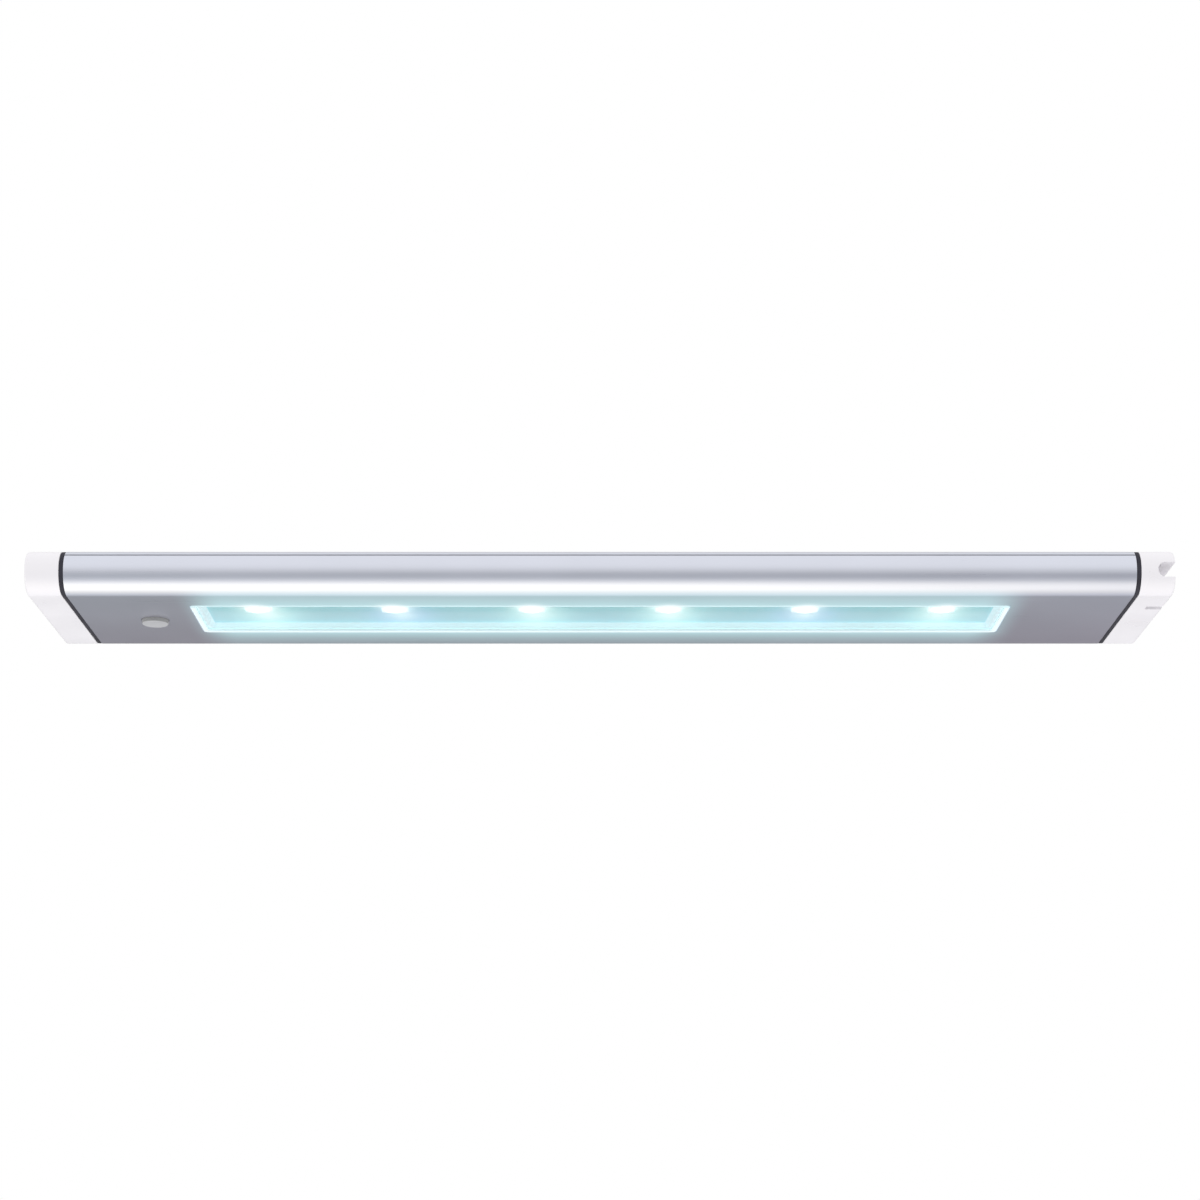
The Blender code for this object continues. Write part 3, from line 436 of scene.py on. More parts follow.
def anodised_metal(name, colour, roughness):
    """Satin anodised extrusion: a fine blasted grain crossed by faint die lines along X."""
    finish = Finish(name, colour, roughness, 1.0)
    grain = finish.noise(5200.0, 2.0)
    lines = finish.noise(1.0, 2.0, finish.stretched((6.0, 2600.0, 2600.0)))
    clouds = finish.noise(35.0, 3.0)
    finish.vary_colour(clouds, 0.015)
    finish.vary_roughness(finish.math("ADD", finish.math("MULTIPLY", lines, 0.6),
                                      finish.math("MULTIPLY", clouds, 0.4)), 0.035)
    finish.bump(finish.math("ADD", grain, finish.math("MULTIPLY", lines, 0.7)), 0.10, 0.02 * MM)
    return finish


def off_lamp(finish, x):
    """Distance along X to the nearest lamp."""
    return finish.math("PINGPONG", finish.math("SUBTRACT", x, LAMP_PITCH / 2), LAMP_PITCH / 2)


def near_violet(finish, x):
    """1 round the violet lamps, the second from each end, and 0 round the others."""
    violet_x = 1.5 * LAMP_PITCH
    off_violet = finish.math("ABSOLUTE", finish.math("SUBTRACT", finish.math("ABSOLUTE", x),
                                                     violet_x))
    return finish.ease(off_violet, 0.6 * LAMP_PITCH, 0.4 * LAMP_PITCH)


def window_glow(finish):
    """Light that spills from the window over the metal beside it, fading with distance.

    Each end's fade is how far outside the window's end it stops and how far inside it starts.
    """
    spill, lamp_spill, rear_painted_shade = (0.23, 0.44, 0.445), (0.22, 0.17, 0.16), (0.885, 0.82, 0.84)
    lamp_size = 3.6 * MM, 2.6 * MM
    front_reach, rear_reach = 20.0 * MM, 9.0 * MM
    left_fade, right_fade = (4.0 * MM, 10.0 * MM), (6.0 * MM, 9.0 * MM)
    wrap = 1.2 * MM
    x, y, z = finish.axes()
    leftward = finish.math("MULTIPLY", x, -1.0)
    along = finish.math("MULTIPLY", *(
        finish.ease(outward, WINDOW_HALF_LENGTH + outside, WINDOW_HALF_LENGTH - inside)
        for outward, (outside, inside) in ((leftward, left_fade), (x, right_fade))))
    off_middle = finish.math("ABSOLUTE", finish.math("SUBTRACT", y, WINDOW_Y))
    past_side = finish.math("MAXIMUM", finish.math("SUBTRACT", off_middle, WINDOW_HALF_WIDTH), 0.0)
    reach = finish.between(y, -front_reach, -rear_reach, WINDOW_Y - WINDOW_HALF_WIDTH,
                           WINDOW_Y + WINDOW_HALF_WIDTH)
    fade = finish.math("EXPONENT", finish.math("DIVIDE", past_side, reach))
    height = finish.math("SUBTRACT", z, UNDERSIDE)
    low = finish.math("SUBTRACT", 1.0, finish.math("DIVIDE", height, wrap), clamp=True)
    level = finish.math("MULTIPLY", finish.math("MULTIPLY", fade, along), low)
    bloom = finish.math("MULTIPLY", level, finish.bell(
        off_lamp(finish, x), finish.math("SUBTRACT", y, WINDOW_FRONT), *lamp_size))
    light = finish.add_light(BLACK, level, spill)
    light = finish.add_light(light, bloom, lamp_spill)
    # Painted shade: the base colour near the underside is darkened towards the rear.
    rearward = finish.ease(y, -SIDE_Y, SIDE_Y)
    finish.tint(finish.math("MULTIPLY", rearward, low), rear_painted_shade)
    finish.emit(light)


def board_glow(finish):
    """Coloured light round the lamps, which face down, and in a pool behind each of them.

    The pools lie a little closer together than the lamps, and to the right of them.
    """
    front_light, rear_light = (0.0, 0.24, 0.26), (0.12, 0.30, 0.34)
    front_end, rear_start = -1.0 * MM, 4.5 * MM
    pool_squeeze, pool_shift, pool_y = 1.008, 0.9 * MM, LAMP_Y + 8.0 * MM
    x, y, _ = finish.axes()
    violet = near_violet(finish, x)
    behind = off_lamp(finish, finish.math("SUBTRACT", finish.math("MULTIPLY", x, pool_squeeze),
                                          pool_shift))
    behind_y = finish.math("SUBTRACT", y, pool_y)
    round_lamp = finish.bell(off_lamp(finish, x), finish.math("SUBTRACT", y, LAMP_Y),
                             4.2 * MM, 4.0 * MM)
    pool = finish.bell(behind, behind_y, 4.0 * MM, 5.5 * MM)
    wide_pool = finish.bell(behind, behind_y, 8.3 * MM, 10.0 * MM)
    light = finish.mix(finish.ease(y, front_end, rear_start), front_light, rear_light)
    for share, cyan_lamp, violet_lamp in (
            (round_lamp, (1.20, 0.80, 0.70), (1.00, 0.75, 0.60)),
            (pool, (0.26, 0.06, 0.05), (0.40, 0.34, 0.12)),
            (wide_pool, (0.38, 0.50, 0.40), (0.12, 0.10, 0.32))):
        light = finish.add_light(light, share, finish.mix(violet, cyan_lamp, violet_lamp))
    finish.emit(light)


def bezel_glow(finish):
    """The bezel glows inside, above the lens, and less on its rim, least along the front."""
    front_rim, other_rim, lamp_spill = (0.0, 0.02, 0.02), (0.20, 0.14, 0.14), (0.30, 0.14, 0.10)
    long_wall, end_wall = (0.53, 0.61, 0.60), (0.43, 0.46, 0.47)
    lamp_size = 3.8 * MM, 2.6 * MM
    x, y, z = finish.axes()
    inside = finish.ease(z, LENS_LOW.z, LENS_HIGH.z)
    off_front = finish.ease(y, WINDOW_FRONT + 1.5 * MM, WINDOW_FRONT + 3.0 * MM)
    bloom = finish.bell(off_lamp(finish, x), finish.math("SUBTRACT", y, WINDOW_FRONT), *lamp_size)
    rim = finish.add_light(finish.mix(off_front, front_rim, other_rim), bloom, lamp_spill)
    at_end = finish.ease(finish.math("ABSOLUTE", x), WINDOW_HALF_LENGTH - 4.2 * MM,
                         WINDOW_HALF_LENGTH - 3.0 * MM)
    finish.emit(finish.mix(inside, rim, finish.mix(at_end, long_wall, end_wall)))


def lamp_glow(finish, middle, colour):
    """Brightest over the lamp's dies and softer towards the rim of its package."""
    core_size, spread_size = 2.2 * MM, 4.6 * MM
    x, y, _ = finish.axes()
    off_x = finish.math("SUBTRACT", x, middle.x)
    off_y = finish.math("SUBTRACT", y, middle.y)
    core = finish.bell(off_x, off_y, core_size, core_size)
    spread = finish.bell(off_x, off_y, spread_size, spread_size)
    dies = finish.between(finish.noise(900.0, 1.0), 0.9, 1.1)
    strength = finish.math("ADD", finish.math("MULTIPLY", core, LAMP_CORE),
                           finish.math("MULTIPLY", spread, LAMP_RIM))
    finish.set("Emission Color", (*colour, 1.0))
    finish.link(finish.math("MULTIPLY", strength, dies), finish.shader.inputs["Emission Strength"])
    return finish.material


def moulded_plastic(name, colour, roughness, grain=3200.0, depth=0.012):
    """Injection moulding: a fine spark-eroded texture and slightly uneven gloss."""
    finish = Finish(name, colour, roughness)
    texture = finish.noise(grain, 2.0)
    clouds = finish.noise(60.0, 3.0)
    finish.vary_colour(clouds, 0.012)
    finish.vary_roughness(clouds, 0.05)
    finish.bump(texture, 0.25, depth * MM)
    return finish


def cap_plastic(name, colour):
    finish = moulded_plastic(name, colour, 0.30)
    finish.set("Specular IOR Level", 1.0)
    return finish


def rubber(name, colour):
    finish = Finish(name, colour, 0.78)
    texture = finish.noise(2400.0, 4.0)
    finish.vary_colour(finish.noise(260.0, 3.0), 0.18)
    finish.vary_roughness(texture, 0.10)
    finish.bump(texture, 0.45, 0.03 * MM)
    return finish


def plated_steel(name, colour):
    finish = Finish(name, colour, 0.27, 1.0)
    turning = finish.noise(1400.0, 3.0)
    finish.vary_colour(finish.noise(500.0, 2.0), 0.04)
    finish.vary_roughness(turning, 0.07)
    finish.bump(turning, 0.15, 0.01 * MM)
    return finish


def clear_plastic(name, colour, roughness=0.03):
    finish = Finish(name, colour, roughness)
    finish.set("Transmission Weight", 1.0)
    finish.set("IOR", 1.49)
    hairlines = finish.noise(1.0, 3.0, finish.stretched((90.0, 700.0, 700.0)))
    finish.vary_roughness(hairlines, 0.015)
    finish.bump(hairlines, 0.02, 0.01 * MM)
    return finish


def lit(finish, colour, strength):
    """Adds light of its own to a finish."""
    finish.set("Emission Color", (*colour, 1.0))
    finish.set("Emission Strength", strength)
    return finish


def make_materials():
    body = anodised_metal("satin_anodised_body", (0.80, 0.824, 0.92), 0.30)
    window_glow(body)
    # The white bezel's base colour is tinted cyan as painted lamp light, under the glow that
    # bezel_glow adds.
    bezel = moulded_plastic("translucent_bezel", (0.70, 0.90, 0.94), 0.30)
    bezel_glow(bezel)
    # The white board's base colour is darkened and tinted cyan: painted shade inside the window
    # and painted cyan lamp light.
    board = moulded_plastic("white_solder_mask", (0.37, 0.58, 0.63), 0.35, RESIN_GRAIN)
    board_glow(board)
    finishes = {
        "body": body,
        "cover": anodised_metal("satin_anodised_cover", (0.79, 0.814, 0.905), 0.33),
        "cap": cap_plastic("white_moulding", (0.885, 0.865, 0.90)),
        # Darker copy of the white cap moulding for the tie slot's inner faces: painted shade in
        # the slot.
        "recess": cap_plastic("white_moulding_painted_slot_shade", (0.76, 0.745, 0.775)),
        "gasket": rubber("dark_gasket_rubber", (0.028, 0.027, 0.040)),
        "steel": plated_steel("plated_screw_steel", (0.66, 0.65, 0.63)),
        "bezel": bezel,
        "lens": clear_plastic("clear_lens_plastic", (0.94, 0.99, 1.0)),
        "lens_edge": lit(moulded_plastic("frosted_lens_edge", (0.80, 0.92, 0.95), 0.45),
                         (0.72, 0.98, 1.0), 0.45),
        "board": board,
        "seal": rubber("grey_silicone", (0.42, 0.44, 0.46)),
        "thermal": rubber("thermal_silicone", (0.30, 0.31, 0.35)),
        "green": moulded_plastic("green_solder_mask", (0.02, 0.13, 0.06), 0.38, RESIN_GRAIN),
        "button": moulded_plastic("grey_button_moulding", (0.45, 0.455, 0.475), 0.40),
        # Darker copy of the button moulding for its side faces: painted shade on the sides.
        "button_shaded_side": moulded_plastic("grey_button_painted_side_shade", (0.33, 0.335, 0.335), 0.50),
        "black": moulded_plastic("black_moulding", (0.022, 0.022, 0.024), 0.42),
        "ferrite": rubber("pressed_ferrite", (0.05, 0.05, 0.055)),
        "ochre": moulded_plastic("ochre_resin", (0.55, 0.34, 0.09), 0.40),
        "brass": plated_steel("bright_brass", (0.83, 0.62, 0.28)),
        "red": moulded_plastic("red_insulation", (0.45, 0.02, 0.015), 0.40),
        "white_wire": moulded_plastic("white_insulation", (0.72, 0.72, 0.70), 0.40),
    }
    return {name: finish.material for name, finish in finishes.items()}


# ---- section outlines ---------------------------------------------------------------------------
def upper_angle(height):
    return math.degrees(math.asin((height - EDGE_LEVEL) / UPPER_RADIUS))


def envelope(inset=0.0):
    half = arc((LOWER_ARC_Y, EDGE_LEVEL), LOWER_RADIUS - inset, -90, 0)
    half += arc((UPPER_ARC_Y, EDGE_LEVEL), UPPER_RADIUS - inset, 0, 90)[1:]
    half.append((CROWN_Y, HEIGHT - inset))
    return with_mirror(half)


def housing_outline():
    """The bullnose shell seen from the end, closed inside by plain walls."""
    half = arc((LOWER_ARC_Y, EDGE_LEVEL), LOWER_RADIUS, -90, 0)
    half += arc((UPPER_ARC_Y, EDGE_LEVEL), UPPER_RADIUS, 0, upper_angle(SEAM_LEVEL), 14)[1:]
    half += [(LIP_Y, SEAM_LEVEL), (LIP_Y, EDGE_LEVEL + WALL)]
    half += [(SIDE_Y - WALL, EDGE_LEVEL)]
    half += arc((LOWER_ARC_Y, EDGE_LEVEL), LOWER_RADIUS - WALL, 0, -90, 12)[1:]
    return with_mirror(half)


def crown_level(y):
    if y <= CROWN_Y:
        return HEIGHT
    edge_level = EDGE_LEVEL + UPPER_RADIUS
    return HEIGHT + (edge_level - HEIGHT) * (y - CROWN_Y) / (UPPER_ARC_Y - CROWN_Y)


def fin_groove(y):
    near, far = y - FIN_GROOVE_WIDTH / 2, y + FIN_GROOVE_WIDTH / 2
    bottom = HEIGHT - FIN_GROOVE_DEPTH
    root = 0.35 * MM
    return ([(near, crown_level(near))] + arc((near + root, bottom + root), root, 180, 270, 4)
            + arc((far - root, bottom + root), root, 270, 360, 4) + [(far, crown_level(far))])


def t_slot():
    mouth_near, mouth_far = SLOT_Y - SLOT_MOUTH / 2, SLOT_Y + SLOT_MOUTH / 2
    wide_near, wide_far = SLOT_Y - SLOT_WIDTH / 2, SLOT_Y + SLOT_WIDTH / 2
    lip, floor = HEIGHT - SLOT_LIP, HEIGHT - SLOT_DEPTH
    return [(mouth_near, HEIGHT), (mouth_near, lip), (wide_near, lip), (wide_near, floor),
            (wide_far, floor), (wide_far, lip), (mouth_far, lip), (mouth_far, HEIGHT)]


def cover_outline():
    inner_groove, *outer_grooves = FIN_GROOVES
    half = fin_groove(inner_groove) + t_slot()
    for y in outer_grooves:
        half += fin_groove(y)
    seam_top = SEAM_LEVEL + SEAM_GAP
    half += arc((UPPER_ARC_Y, EDGE_LEVEL), UPPER_RADIUS, 90, upper_angle(seam_top), 12)
    underside = COVER_LOW.z - UNDERSIDE
    half += [(LIP_Y - SEAM_GAP, seam_top), (LIP_Y - SEAM_GAP, underside)]
    return with_mirror(half)


# ---- metal shells -------------------------------------------------------------------------------
def window_outline(inset, radius=WINDOW_ROUND):
    half_length = WINDOW_HALF_LENGTH - inset
    half_width = WINDOW_HALF_WIDTH - inset
    return rounded_rectangle((-half_length, WINDOW_Y - half_width),
                             (half_length, WINDOW_Y + half_width), radius)


def make_shells(materials):
    """The housing, open for the window and the button, and the finned cover over it."""
    housing = new_object("body_shell", section_mesh("body_shell", [housing_outline()],
                                                    -METAL_END, METAL_END))
    button = (BUTTON_LOW + BUTTON_HIGH) / 2
    reach = 2 * WALL
    hole_radius = 3.85 * MM
    cut(housing, [
        plate_mesh("window_tool", [window_outline(0)], UNDERSIDE - reach, UNDERSIDE + reach),
        plate_mesh("button_tool", [circle((button.x, button.y), hole_radius)],
                   UNDERSIDE - reach, UNDERSIDE + reach)])
    break_edges(housing)
    dress(housing, materials["body"], "housing", "anodised_body", "lower_housing")
    cover = new_object("cover_shell", section_mesh("cover_shell", [cover_outline()],
                                                   -METAL_END, METAL_END))
    break_edges(cover)
    dress(cover, materials["cover"], "housing", "anodised_cover", "top_heat_sink")


# ---- window, board and light sources ------------------------------------------------------------
def make_window(materials):
    """Bezel with a pocket for the lens and a reflector's opening behind it, and the lens."""
    clearance = WINDOW_GAP / 2
    bezel = new_object("bezel_frame", plate_mesh("bezel_frame", [window_outline(clearance)],
                                                 UNDERSIDE, BEZEL_TOP))
    pocket_top = LENS_HIGH.z + LENS_GAP
    mouth, throat, side = 2.3 * MM, 3.4 * MM, 1.9 * MM      # insets of the reflector's opening
    pocket_round, lens_round, lens_clearance = 0.9 * MM, 0.8 * MM, 0.05 * MM
    length = WINDOW_HALF_LENGTH - mouth
    tool_low = (-length, WINDOW_Y - WINDOW_HALF_WIDTH + side, pocket_top - LENS_GAP)
    tool_high = (length, WINDOW_Y + WINDOW_HALF_WIDTH - side, BEZEL_TOP + LENS_GAP)
    lens_inset = WINDOW_GAP + BEZEL_RIM
    cut(bezel, [
        plate_mesh("lens_tool", [window_outline(lens_inset, pocket_round)], UNDERSIDE - WALL,
                   pocket_top),
        box_mesh("reflector_tool", tool_low, tool_high,
                 (WINDOW_HALF_LENGTH - throat) / length)])
    break_edges(bezel, width=0.12 * MM)
    dress(bezel, materials["bezel"], "housing", "bezel_plastic", "window_bezel")
    lens_shape = window_outline(lens_inset + lens_clearance, lens_round)
    lens = new_object("lens_plate", plate_mesh("lens_plate", [lens_shape], LENS_LOW.z,
                                               LENS_HIGH.z))
    break_edges(lens, width=0.15 * MM)
    dress(lens, (materials["lens"], materials["lens_edge"]), "housing", "clear_lens",
          "window_lens")
    for polygon in lens.data.polygons:
        polygon.material_index = 0 if abs(polygon.normal.z) > LEVEL_FACE else 1


def make_board(materials):
    corner = 1.0 * MM
    outline = rounded_rectangle((BOARD_LOW.x, BOARD_LOW.y), (BOARD_HIGH.x, BOARD_HIGH.y), corner)
    board = new_object("light_board", plate_mesh("light_board", [outline],
                                                 BOARD_LOW.z, BOARD_HIGH.z))
    break_edges(board, width=0.1 * MM)
    dress(board, materials["board"], "housing", "led_board_white", "led_board")


def make_lamps():
    """Each lamp is a square package with a low dome on its underside, and both of them glow."""
    half, thickness = 3.7 * MM, 0.5 * MM
    radius, rise = 3.1 * MM, 0.8 * MM
    sunk, board_gap = 0.1 * MM, 0.05 * MM
    sphere = (radius ** 2 + rise ** 2) / (2 * rise)
    half_angle = math.degrees(math.asin(radius / sphere))
    dome = arc((0, sphere - rise), sphere, half_angle - 90, -90, 12)
    profile = [(0, sunk), (radius, sunk)] + dome[:-1] + [(0, -rise)]
    seat = BOARD_LOW.z - board_gap
    for number in range(1, LAMP_COUNT + 1):
        node = f"led_cluster_{number}"
        low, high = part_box(node)
        middle = (low + high) / 2
        slot = "led_violet" if number in VIOLET_LAMPS else "led_cyan"
        outline = rounded_rectangle((middle.x - half, middle.y - half),
                                    (middle.x + half, middle.y + half), 0.6 * MM)
        resin = moulded_plastic(f"lamp_glow_{number}", (0.75, 0.88, 0.90), 0.25, RESIN_GRAIN)
        glow = lamp_glow(resin, middle, LAMP_COLOURS[slot])
        base = new_object(f"lamp_base_{number}",
                          plate_mesh("lamp_base", [outline], seat - thickness, seat))
        break_edges(base, width=0.08 * MM)
        dress(base, glow, "housing", slot)
        lamp = new_object(f"lamp_dome_{number}", turned_mesh(
            "lamp_dome", profile, (middle.x, middle.y, seat - thickness)))
        shade(lamp)
        dress(lamp, glow, "housing", slot, node)


# ---- trim ---------------------------------------------------------------------------------------
def make_button(materials):
    """Push button with a soft edge and a slightly dished face."""
    place = (BUTTON_LOW + BUTTON_HIGH) / 2
    flange_radius = (BUTTON_HIGH.x - BUTTON_LOW.x) / 2
    radius, edge, flange, dish = 3.7 * MM, 0.45 * MM, 0.5 * MM, 0.16 * MM
    top, face = BUTTON_HIGH.z, BUTTON_LOW.z
    profile = [(0, top), (flange_radius, top), (flange_radius, top - flange),
               (radius, top - flange)]
    profile += arc((radius - edge, face + edge), edge, 0, -90, 8)
    profile += [(radius * 0.75, face + dish * 0.35), (radius * 0.5, face + dish * 0.8),
                (radius * 0.25, face + dish), (0, face + dish)]
    button = new_object("button_face", turned_mesh("button_face", profile, (place.x, place.y, 0)))
    shade(button)
    dress(button, (materials["button"], materials["button_shaded_side"]), "button", "button_plastic",
          "button_cap")
    # Faces that do not face down get the darker moulding as painted shade on the button's sides.
    for polygon in button.data.polygons:
        polygon.material_index = 0 if polygon.normal.z < -DOWNWARD_FACE else 1


def make_gasket(name, side, materials):
    """End gasket between metal and cap, a hair inside their outline, with a rounded rim."""
    clearance, inset = 0.02 * MM, 0.05 * MM
    start, end = sorted((side * (METAL_END + clearance), side * (CAP_START - clearance)))
    gasket = new_object(name + "_gasket_bead", section_mesh(name, [envelope(inset)], start, end))
    break_edges(gasket, width=0.25 * MM, segments=3)
    dress(gasket, materials["gasket"], "housing", "gasket_rubber", name + "_gasket")


def cap_blank(name, side):
    """The cap's outer form with its end edge rounded."""
    start, end = sorted((side * CAP_START, side * BAR_END))
    mesh = section_mesh(name, [envelope()], start, end)
    rim_round = 0.7 * MM
    shape = bmesh.new()
    shape.from_mesh(mesh)
    rim = [edge for edge in shape.edges
           if all(abs(vertex.co.x - side * BAR_END) < EDGE_BREAK for vertex in edge.verts)]
    bmesh.ops.bevel(shape, geom=rim, offset=rim_round, segments=6, profile=0.5, affect="EDGES")
    shape.to_mesh(mesh)
    shape.free()
    return mesh


def drill_mesh(name, radius, y, height, x_from, x_to):
    start, end = sorted((x_from, x_to))
    return section_mesh(name, [circle((y, height), radius, 64)], start, end)


CHANNEL_BOTTOM, CHANNEL_TOP, CHANNEL_DEPTH = 3.9 * MM, 7.9 * MM, 4.8 * MM
TIE_SLOT_Y, TIE_SLOT_WIDTH = -13.4 * MM, 2.8 * MM


def channel_tools():
    """Cutters for the cable channel across the right end and for the tie slot below it."""
    radius = (CHANNEL_TOP - CHANNEL_BOTTOM) / 2
    outer, inner = BAR_END + WALL, BAR_END - CHANNEL_DEPTH
    outline = [(outer, CHANNEL_TOP)]
    outline += arc((inner + radius, CHANNEL_BOTTOM + radius), radius, 90, 270)
    outline.append((outer, CHANNEL_BOTTOM))
    channel = extruded_mesh("channel_tool", [outline], 4 * SIDE_Y)
    channel.transform(Matrix.Translation((0, 0, UNDERSIDE))
                      @ Matrix.Rotation(math.pi / 2, 4, "X"))
    slit = box_mesh("tie_slot_tool",
                    (inner, TIE_SLOT_Y - TIE_SLOT_WIDTH / 2, UNDERSIDE - WALL),
                    (outer, TIE_SLOT_Y + TIE_SLOT_WIDTH / 2,
                     UNDERSIDE + CHANNEL_BOTTOM + radius / 2))
    return [channel, slit]


def in_tie_slot(point):
    margin = 0.05 * MM
    return (abs(point.y - TIE_SLOT_Y) < TIE_SLOT_WIDTH / 2 + margin
            and point.x > BAR_END - CHANNEL_DEPTH - margin
            and point.z < UNDERSIDE + CHANNEL_BOTTOM)


def make_cap(name, side, materials):
    """The right cap has the cable channel and the left one the power inlet."""
    cap = new_object(name + "_cap_shell", cap_blank(name, side))
    floor, counterbore, outside = 2.6 * MM, 2.7 * MM, BAR_END + WALL
    tools = [drill_mesh("counterbore_tool", counterbore, y, SCREW_LEVEL,
                        side * (CAP_START + floor), side * outside)
             for y in (-SCREW_Y, SCREW_Y)]
    if side > 0:
        tools += channel_tools()
    else:
        inlet_level, recess, recess_depth, bore = 6.2 * MM, 4.7 * MM, 1.3 * MM, 3.2 * MM
        tools.append(drill_mesh("inlet_recess_tool", recess, 0, inlet_level,
                                recess_depth - BAR_END, -outside))
        tools.append(drill_mesh("inlet_tool", bore, 0, inlet_level, -(CAP_START + WALL),
                                -outside))
    cut(cap, tools)
    break_edges(cap, width=0.15 * MM)
    dress(cap, (materials["cap"], materials["recess"]), "housing", "white_plastic",
          name + "_end_cap")
    # Faces inside the tie slot get the darker moulding as painted shade.
    for polygon in cap.data.polygons:
        polygon.material_index = 1 if in_tie_slot(polygon.center) else 0


def make_screw(name, side, y, materials):
    """Socket screw head with a rounded rim; its shank stays inside the bar."""
    low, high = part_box(name)
    top = high.x if side > 0 else -low.x
    head, radius, shank, edge = 1.7 * MM, 2.3 * MM, 1.15 * MM, 0.4 * MM
    foot = -head - 6 * MM
    socket_radius, socket_depth = 1.15 * MM, 1.0 * MM
    profile = [(0, 0)] + arc((radius - edge, -edge), edge, 90, 0, 8)
    profile += [(radius, -head), (shank, -head), (shank, foot), (0, foot)]
    turn = Matrix.Rotation(side * math.pi / 2, 4, "Y")
    level = UNDERSIDE + SCREW_LEVEL
    screw = new_object(name + "_head",
                       turned_mesh(name, profile, (side * top, y, level), turn, 64))
    socket = section_mesh("socket_tool", [circle((y, SCREW_LEVEL), socket_radius, 6)],
                          *sorted((side * (top - socket_depth), side * (top + socket_depth))))
    cut(screw, [socket])
    break_edges(screw, width=0.06 * MM)
    dress(screw, materials["steel"], "housing", "screw_steel", name)


def make_inlet(materials):
    """Barrel socket with a thin flange, turned round the inlet's axis in the left cap."""
    low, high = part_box("inlet_shell")
    level = (low.z + high.z) / 2
    turn = Matrix.Rotation(-math.pi / 2, 4, "Y")
    out, inner, flange = -low.x, -high.x, (high.z - low.z) / 2
    bore, depth, barrel, edge = 2.0 * MM, 7.8 * MM, 3.0 * MM, 0.15 * MM
    shoulder, bottom = out - 0.4 * MM, out - depth
    profile = [(bore + edge, out)] + arc((flange - edge, out - edge), edge, 90, 0, 5)
    profile += [(flange, shoulder), (barrel, shoulder), (barrel, inner), (0, inner), (0, bottom),
                (bore, bottom), (bore, out - edge)]
    inlet = new_object("inlet_socket", turned_mesh("inlet_socket", profile, (0, 0, level), turn))
    shade(inlet)
    dress(inlet, materials["black"], "housing", "black_plastic", "inlet_shell")


def finish_hidden_nodes(materials):
    """CAD nodes that keep their shape, mostly inside the bar."""
    for slot, material in (
            ("gasket_rubber", "gasket"), ("screw_steel", "steel"), ("silicone_seal", "seal"),
            ("thermal_silicone", "thermal"), ("board_green", "green"), ("black_plastic", "black"),
            ("plunger_plastic", "black"), ("ferrite", "ferrite"), ("capacitor_body", "ochre"),
            ("contact_brass", "brass"), ("lead_red", "red"), ("lead_black", "black"),
            ("lead_white", "white_wire")):
        for row in frame["record"]["subparts"]:
            if row["material_slot"] == slot:
                obj = NODES[row["node"]]
                obj.data.materials.clear()
                obj.data.materials.append(materials[material])
                shade(obj, CAD_SMOOTH_ANGLE)


# ---- stage --------------------------------------------------------------------------------------
# Brightness by direction round the bar, in degrees from the front horizon: 90 is straight up,
# -90 straight down, and 180 or -180 the rear horizon.
MIRRORED_BANDS = ((-180, 0.07), (-165, 0.262), (-150, 0.48), (-135, 0.70), (-118, 0.94),
                  (-100, 1.45), (-74, 1.40), (-55, 0.80), (-45, 0.55), (-26, 0.43), (-8, 0.66),
                  (10, 0.87), (60, 0.88), (111, 0.85), (150, 0.60), (180, 0.25))
MIRRORED_BANDS_RIGHT = ((-180, 0.10), (-165, 0.285), (-150, 0.48), (-135, 0.63), (-118, 0.73),
                        (-100, 0.94), (-74, 0.92), (-55, 0.57), (-45, 0.41), (-26, 0.345),
                        (-8, 0.66), (10, 0.87), (60, 0.88), (111, 0.85), (150, 0.60), (180, 0.25))
RIGHT_SIDE = (0.12, 0.17)       # sideways share of a direction where the right bands take over
NEUTRAL = (1.0, 1.0, 1.0)
TINTS = (1.0, 0.97, 0.88), (1.0, 1.03, 1.06)
TINTS_RIGHT = (1.0, 0.97, 0.94), (1.03, 1.025, 1.09)
RECEIVED_BANDS = ((-180, 1.0), (-120, 1.26), (-90, 1.34), (-60, 1.18), (-30, 0.84), (0, 0.76),
                  (30, 0.96), (60, 1.20), (120, 1.10), (180, 1.0))


def band_tint(degrees, below, beside):
    """Tint of what metal mirrors: one straight below the bar and another on both sides of it."""
    if -130 < degrees < -60:
        return below
    return beside if degrees < -130 or -50 < degrees < -20 else NEUTRAL


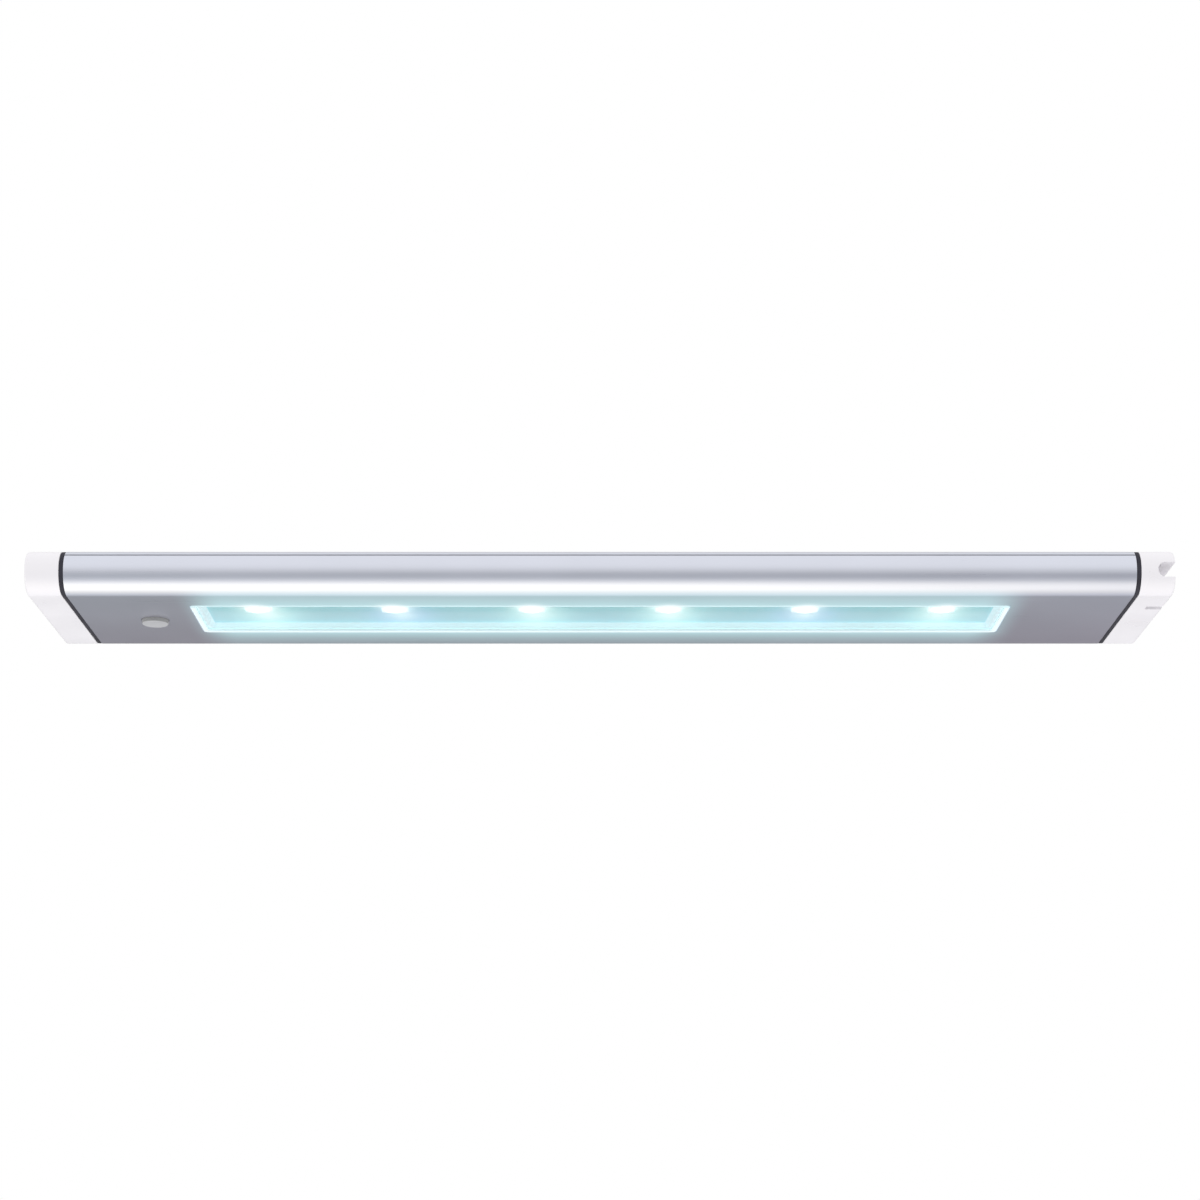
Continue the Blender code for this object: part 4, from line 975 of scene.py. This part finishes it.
class Studio:
    """A white studio: what metal mirrors runs through bands from above the bar to below it."""

    def __init__(self):
        world = bpy.data.worlds.new("studio")
        bpy.context.scene.world = world
        world.use_nodes = True
        world.cycles.sampling_method = "NONE"   # only ray types that the bands know meet them
        self.tree = world.node_tree
        self.tree.nodes.clear()
        coordinates = self.tree.nodes.new("ShaderNodeTexCoord")
        separate = self.tree.nodes.new("ShaderNodeSeparateXYZ")
        self.link(coordinates.outputs["Generated"], separate.inputs["Vector"])
        forward = self.math("MULTIPLY", separate.outputs["Y"], -1.0)
        angle = self.math("ARCTAN2", separate.outputs["Z"], forward)
        self.turn = self.map_range(angle, -math.pi, math.pi)
        mirrored = self.mix(self.map_range(separate.outputs["X"], *RIGHT_SIDE),
                            self.ramp(MIRRORED_BANDS, TINTS),
                            self.ramp(MIRRORED_BANDS_RIGHT, TINTS_RIGHT))
        paths = self.tree.nodes.new("ShaderNodeLightPath")
        light = self.mix(paths.outputs["Is Diffuse Ray"], mirrored, self.ramp(RECEIVED_BANDS))
        seen = self.mix(paths.outputs["Is Camera Ray"], light, (*NEUTRAL, 1.0))
        background = self.tree.nodes.new("ShaderNodeBackground")
        self.link(seen, background.inputs["Color"])
        output = self.tree.nodes.new("ShaderNodeOutputWorld")
        self.link(background.outputs["Background"], output.inputs["Surface"])

    def link(self, output, socket):
        self.tree.links.new(output, socket)

    def math(self, operation, first, second):
        node = self.tree.nodes.new("ShaderNodeMath")
        node.operation = operation
        for value, socket in zip((first, second), node.inputs):
            if isinstance(value, float):
                socket.default_value = value
            else:
                self.link(value, socket)
        return node.outputs["Value"]

    def map_range(self, value, start, stop):
        node = self.tree.nodes.new("ShaderNodeMapRange")
        node.inputs["From Min"].default_value = start
        node.inputs["From Max"].default_value = stop
        self.link(value, node.inputs["Value"])
        return node.outputs["Result"]

    def mix(self, fac, first, second):
        node = self.tree.nodes.new("ShaderNodeMix")
        node.data_type = "RGBA"
        self.link(fac, node.inputs[0])
        self.link(first, node.inputs[6])
        if isinstance(second, tuple):
            node.inputs[7].default_value = second
        else:
            self.link(second, node.inputs[7])
        return node.outputs[2]

    def ramp(self, bands, tints=(NEUTRAL, NEUTRAL)):
        """Bands as a colour ramp, which holds up to 1, so they are doubled after it."""
        node = self.tree.nodes.new("ShaderNodeValToRGB")
        elements = node.color_ramp.elements
        elements[0].position, elements[1].position = 0.0, 1.0
        for degrees, _ in bands[1:-1]:
            elements.new((degrees + 180) / 360)
        for element, (degrees, value) in zip(elements, bands):
            tint = band_tint(degrees, *tints)
            element.color = (*(share * value / 2 for share in tint), 1.0)
        self.link(self.turn, node.inputs["Fac"])
        double = self.tree.nodes.new("ShaderNodeVectorMath")
        double.operation = "SCALE"
        double.inputs["Scale"].default_value = 2.0
        self.link(node.outputs["Color"], double.inputs[0])
        return double.outputs["Vector"]


def make_stage():
    size, height = 12.0, -0.9
    shape = bmesh.new()
    bmesh.ops.create_grid(shape, x_segments=4, y_segments=4, size=size / 2)
    mesh = bpy.data.meshes.new("studio_floor")
    shape.to_mesh(mesh)
    shape.free()
    floor = new_object("studio_floor", mesh)
    floor.location.z = height
    paint = Finish("pale_floor", (0.90, 0.90, 0.905), 0.6)
    paint.vary_colour(paint.noise(3.0, 3.0), 0.01)
    mesh.materials.append(paint.material)
    floor.visible_glossy = False
    floor.visible_diffuse = False


def make_light():
    data = bpy.data.lights.new("soft_key", "AREA")
    data.shape = "RECTANGLE"
    data.size, data.size_y = 1.6, 0.8
    data.energy = 1.2
    light = bpy.data.objects.new("soft_key", data)
    light.location = (-0.5, -1.2, 1.1)
    towards_bar = -light.location
    light.rotation_euler = towards_bar.to_track_quat("-Z", "Y").to_euler()
    light.visible_glossy = False
    bpy.context.scene.collection.objects.link(light)


def make_camera():
    """In front of the bar's middle and below it, looking up at it."""
    distance, drop, upward = 0.6969, 0.1860, math.radians(15.4)
    data = bpy.data.cameras.new("camera")
    data.sensor_width = 36.0
    data.lens = 77.2
    data.clip_start, data.clip_end = 0.01, 60.0
    camera = bpy.data.objects.new("camera", data)
    camera.location = (0.0, -distance, UNDERSIDE - drop)
    camera.rotation_euler = (math.pi / 2 + upward, 0, 0)
    bpy.context.scene.collection.objects.link(camera)
    bpy.context.scene.camera = camera


bpy.context.scene.view_settings.view_transform = "Standard"
make_camera()
Studio()
make_stage()
make_light()
MATERIALS = make_materials()
make_shells(MATERIALS)
make_window(MATERIALS)
make_board(MATERIALS)
make_lamps()
make_button(MATERIALS)
for end, direction in (("left", -1), ("right", 1)):
    make_gasket(end, direction, MATERIALS)
    make_cap(end, direction, MATERIALS)
    for place, screw_y in (("front", -SCREW_Y), ("rear", SCREW_Y)):
        make_screw(f"{end}_cap_screw_{place}", direction, screw_y, MATERIALS)
make_inlet(MATERIALS)
finish_hidden_nodes(MATERIALS)
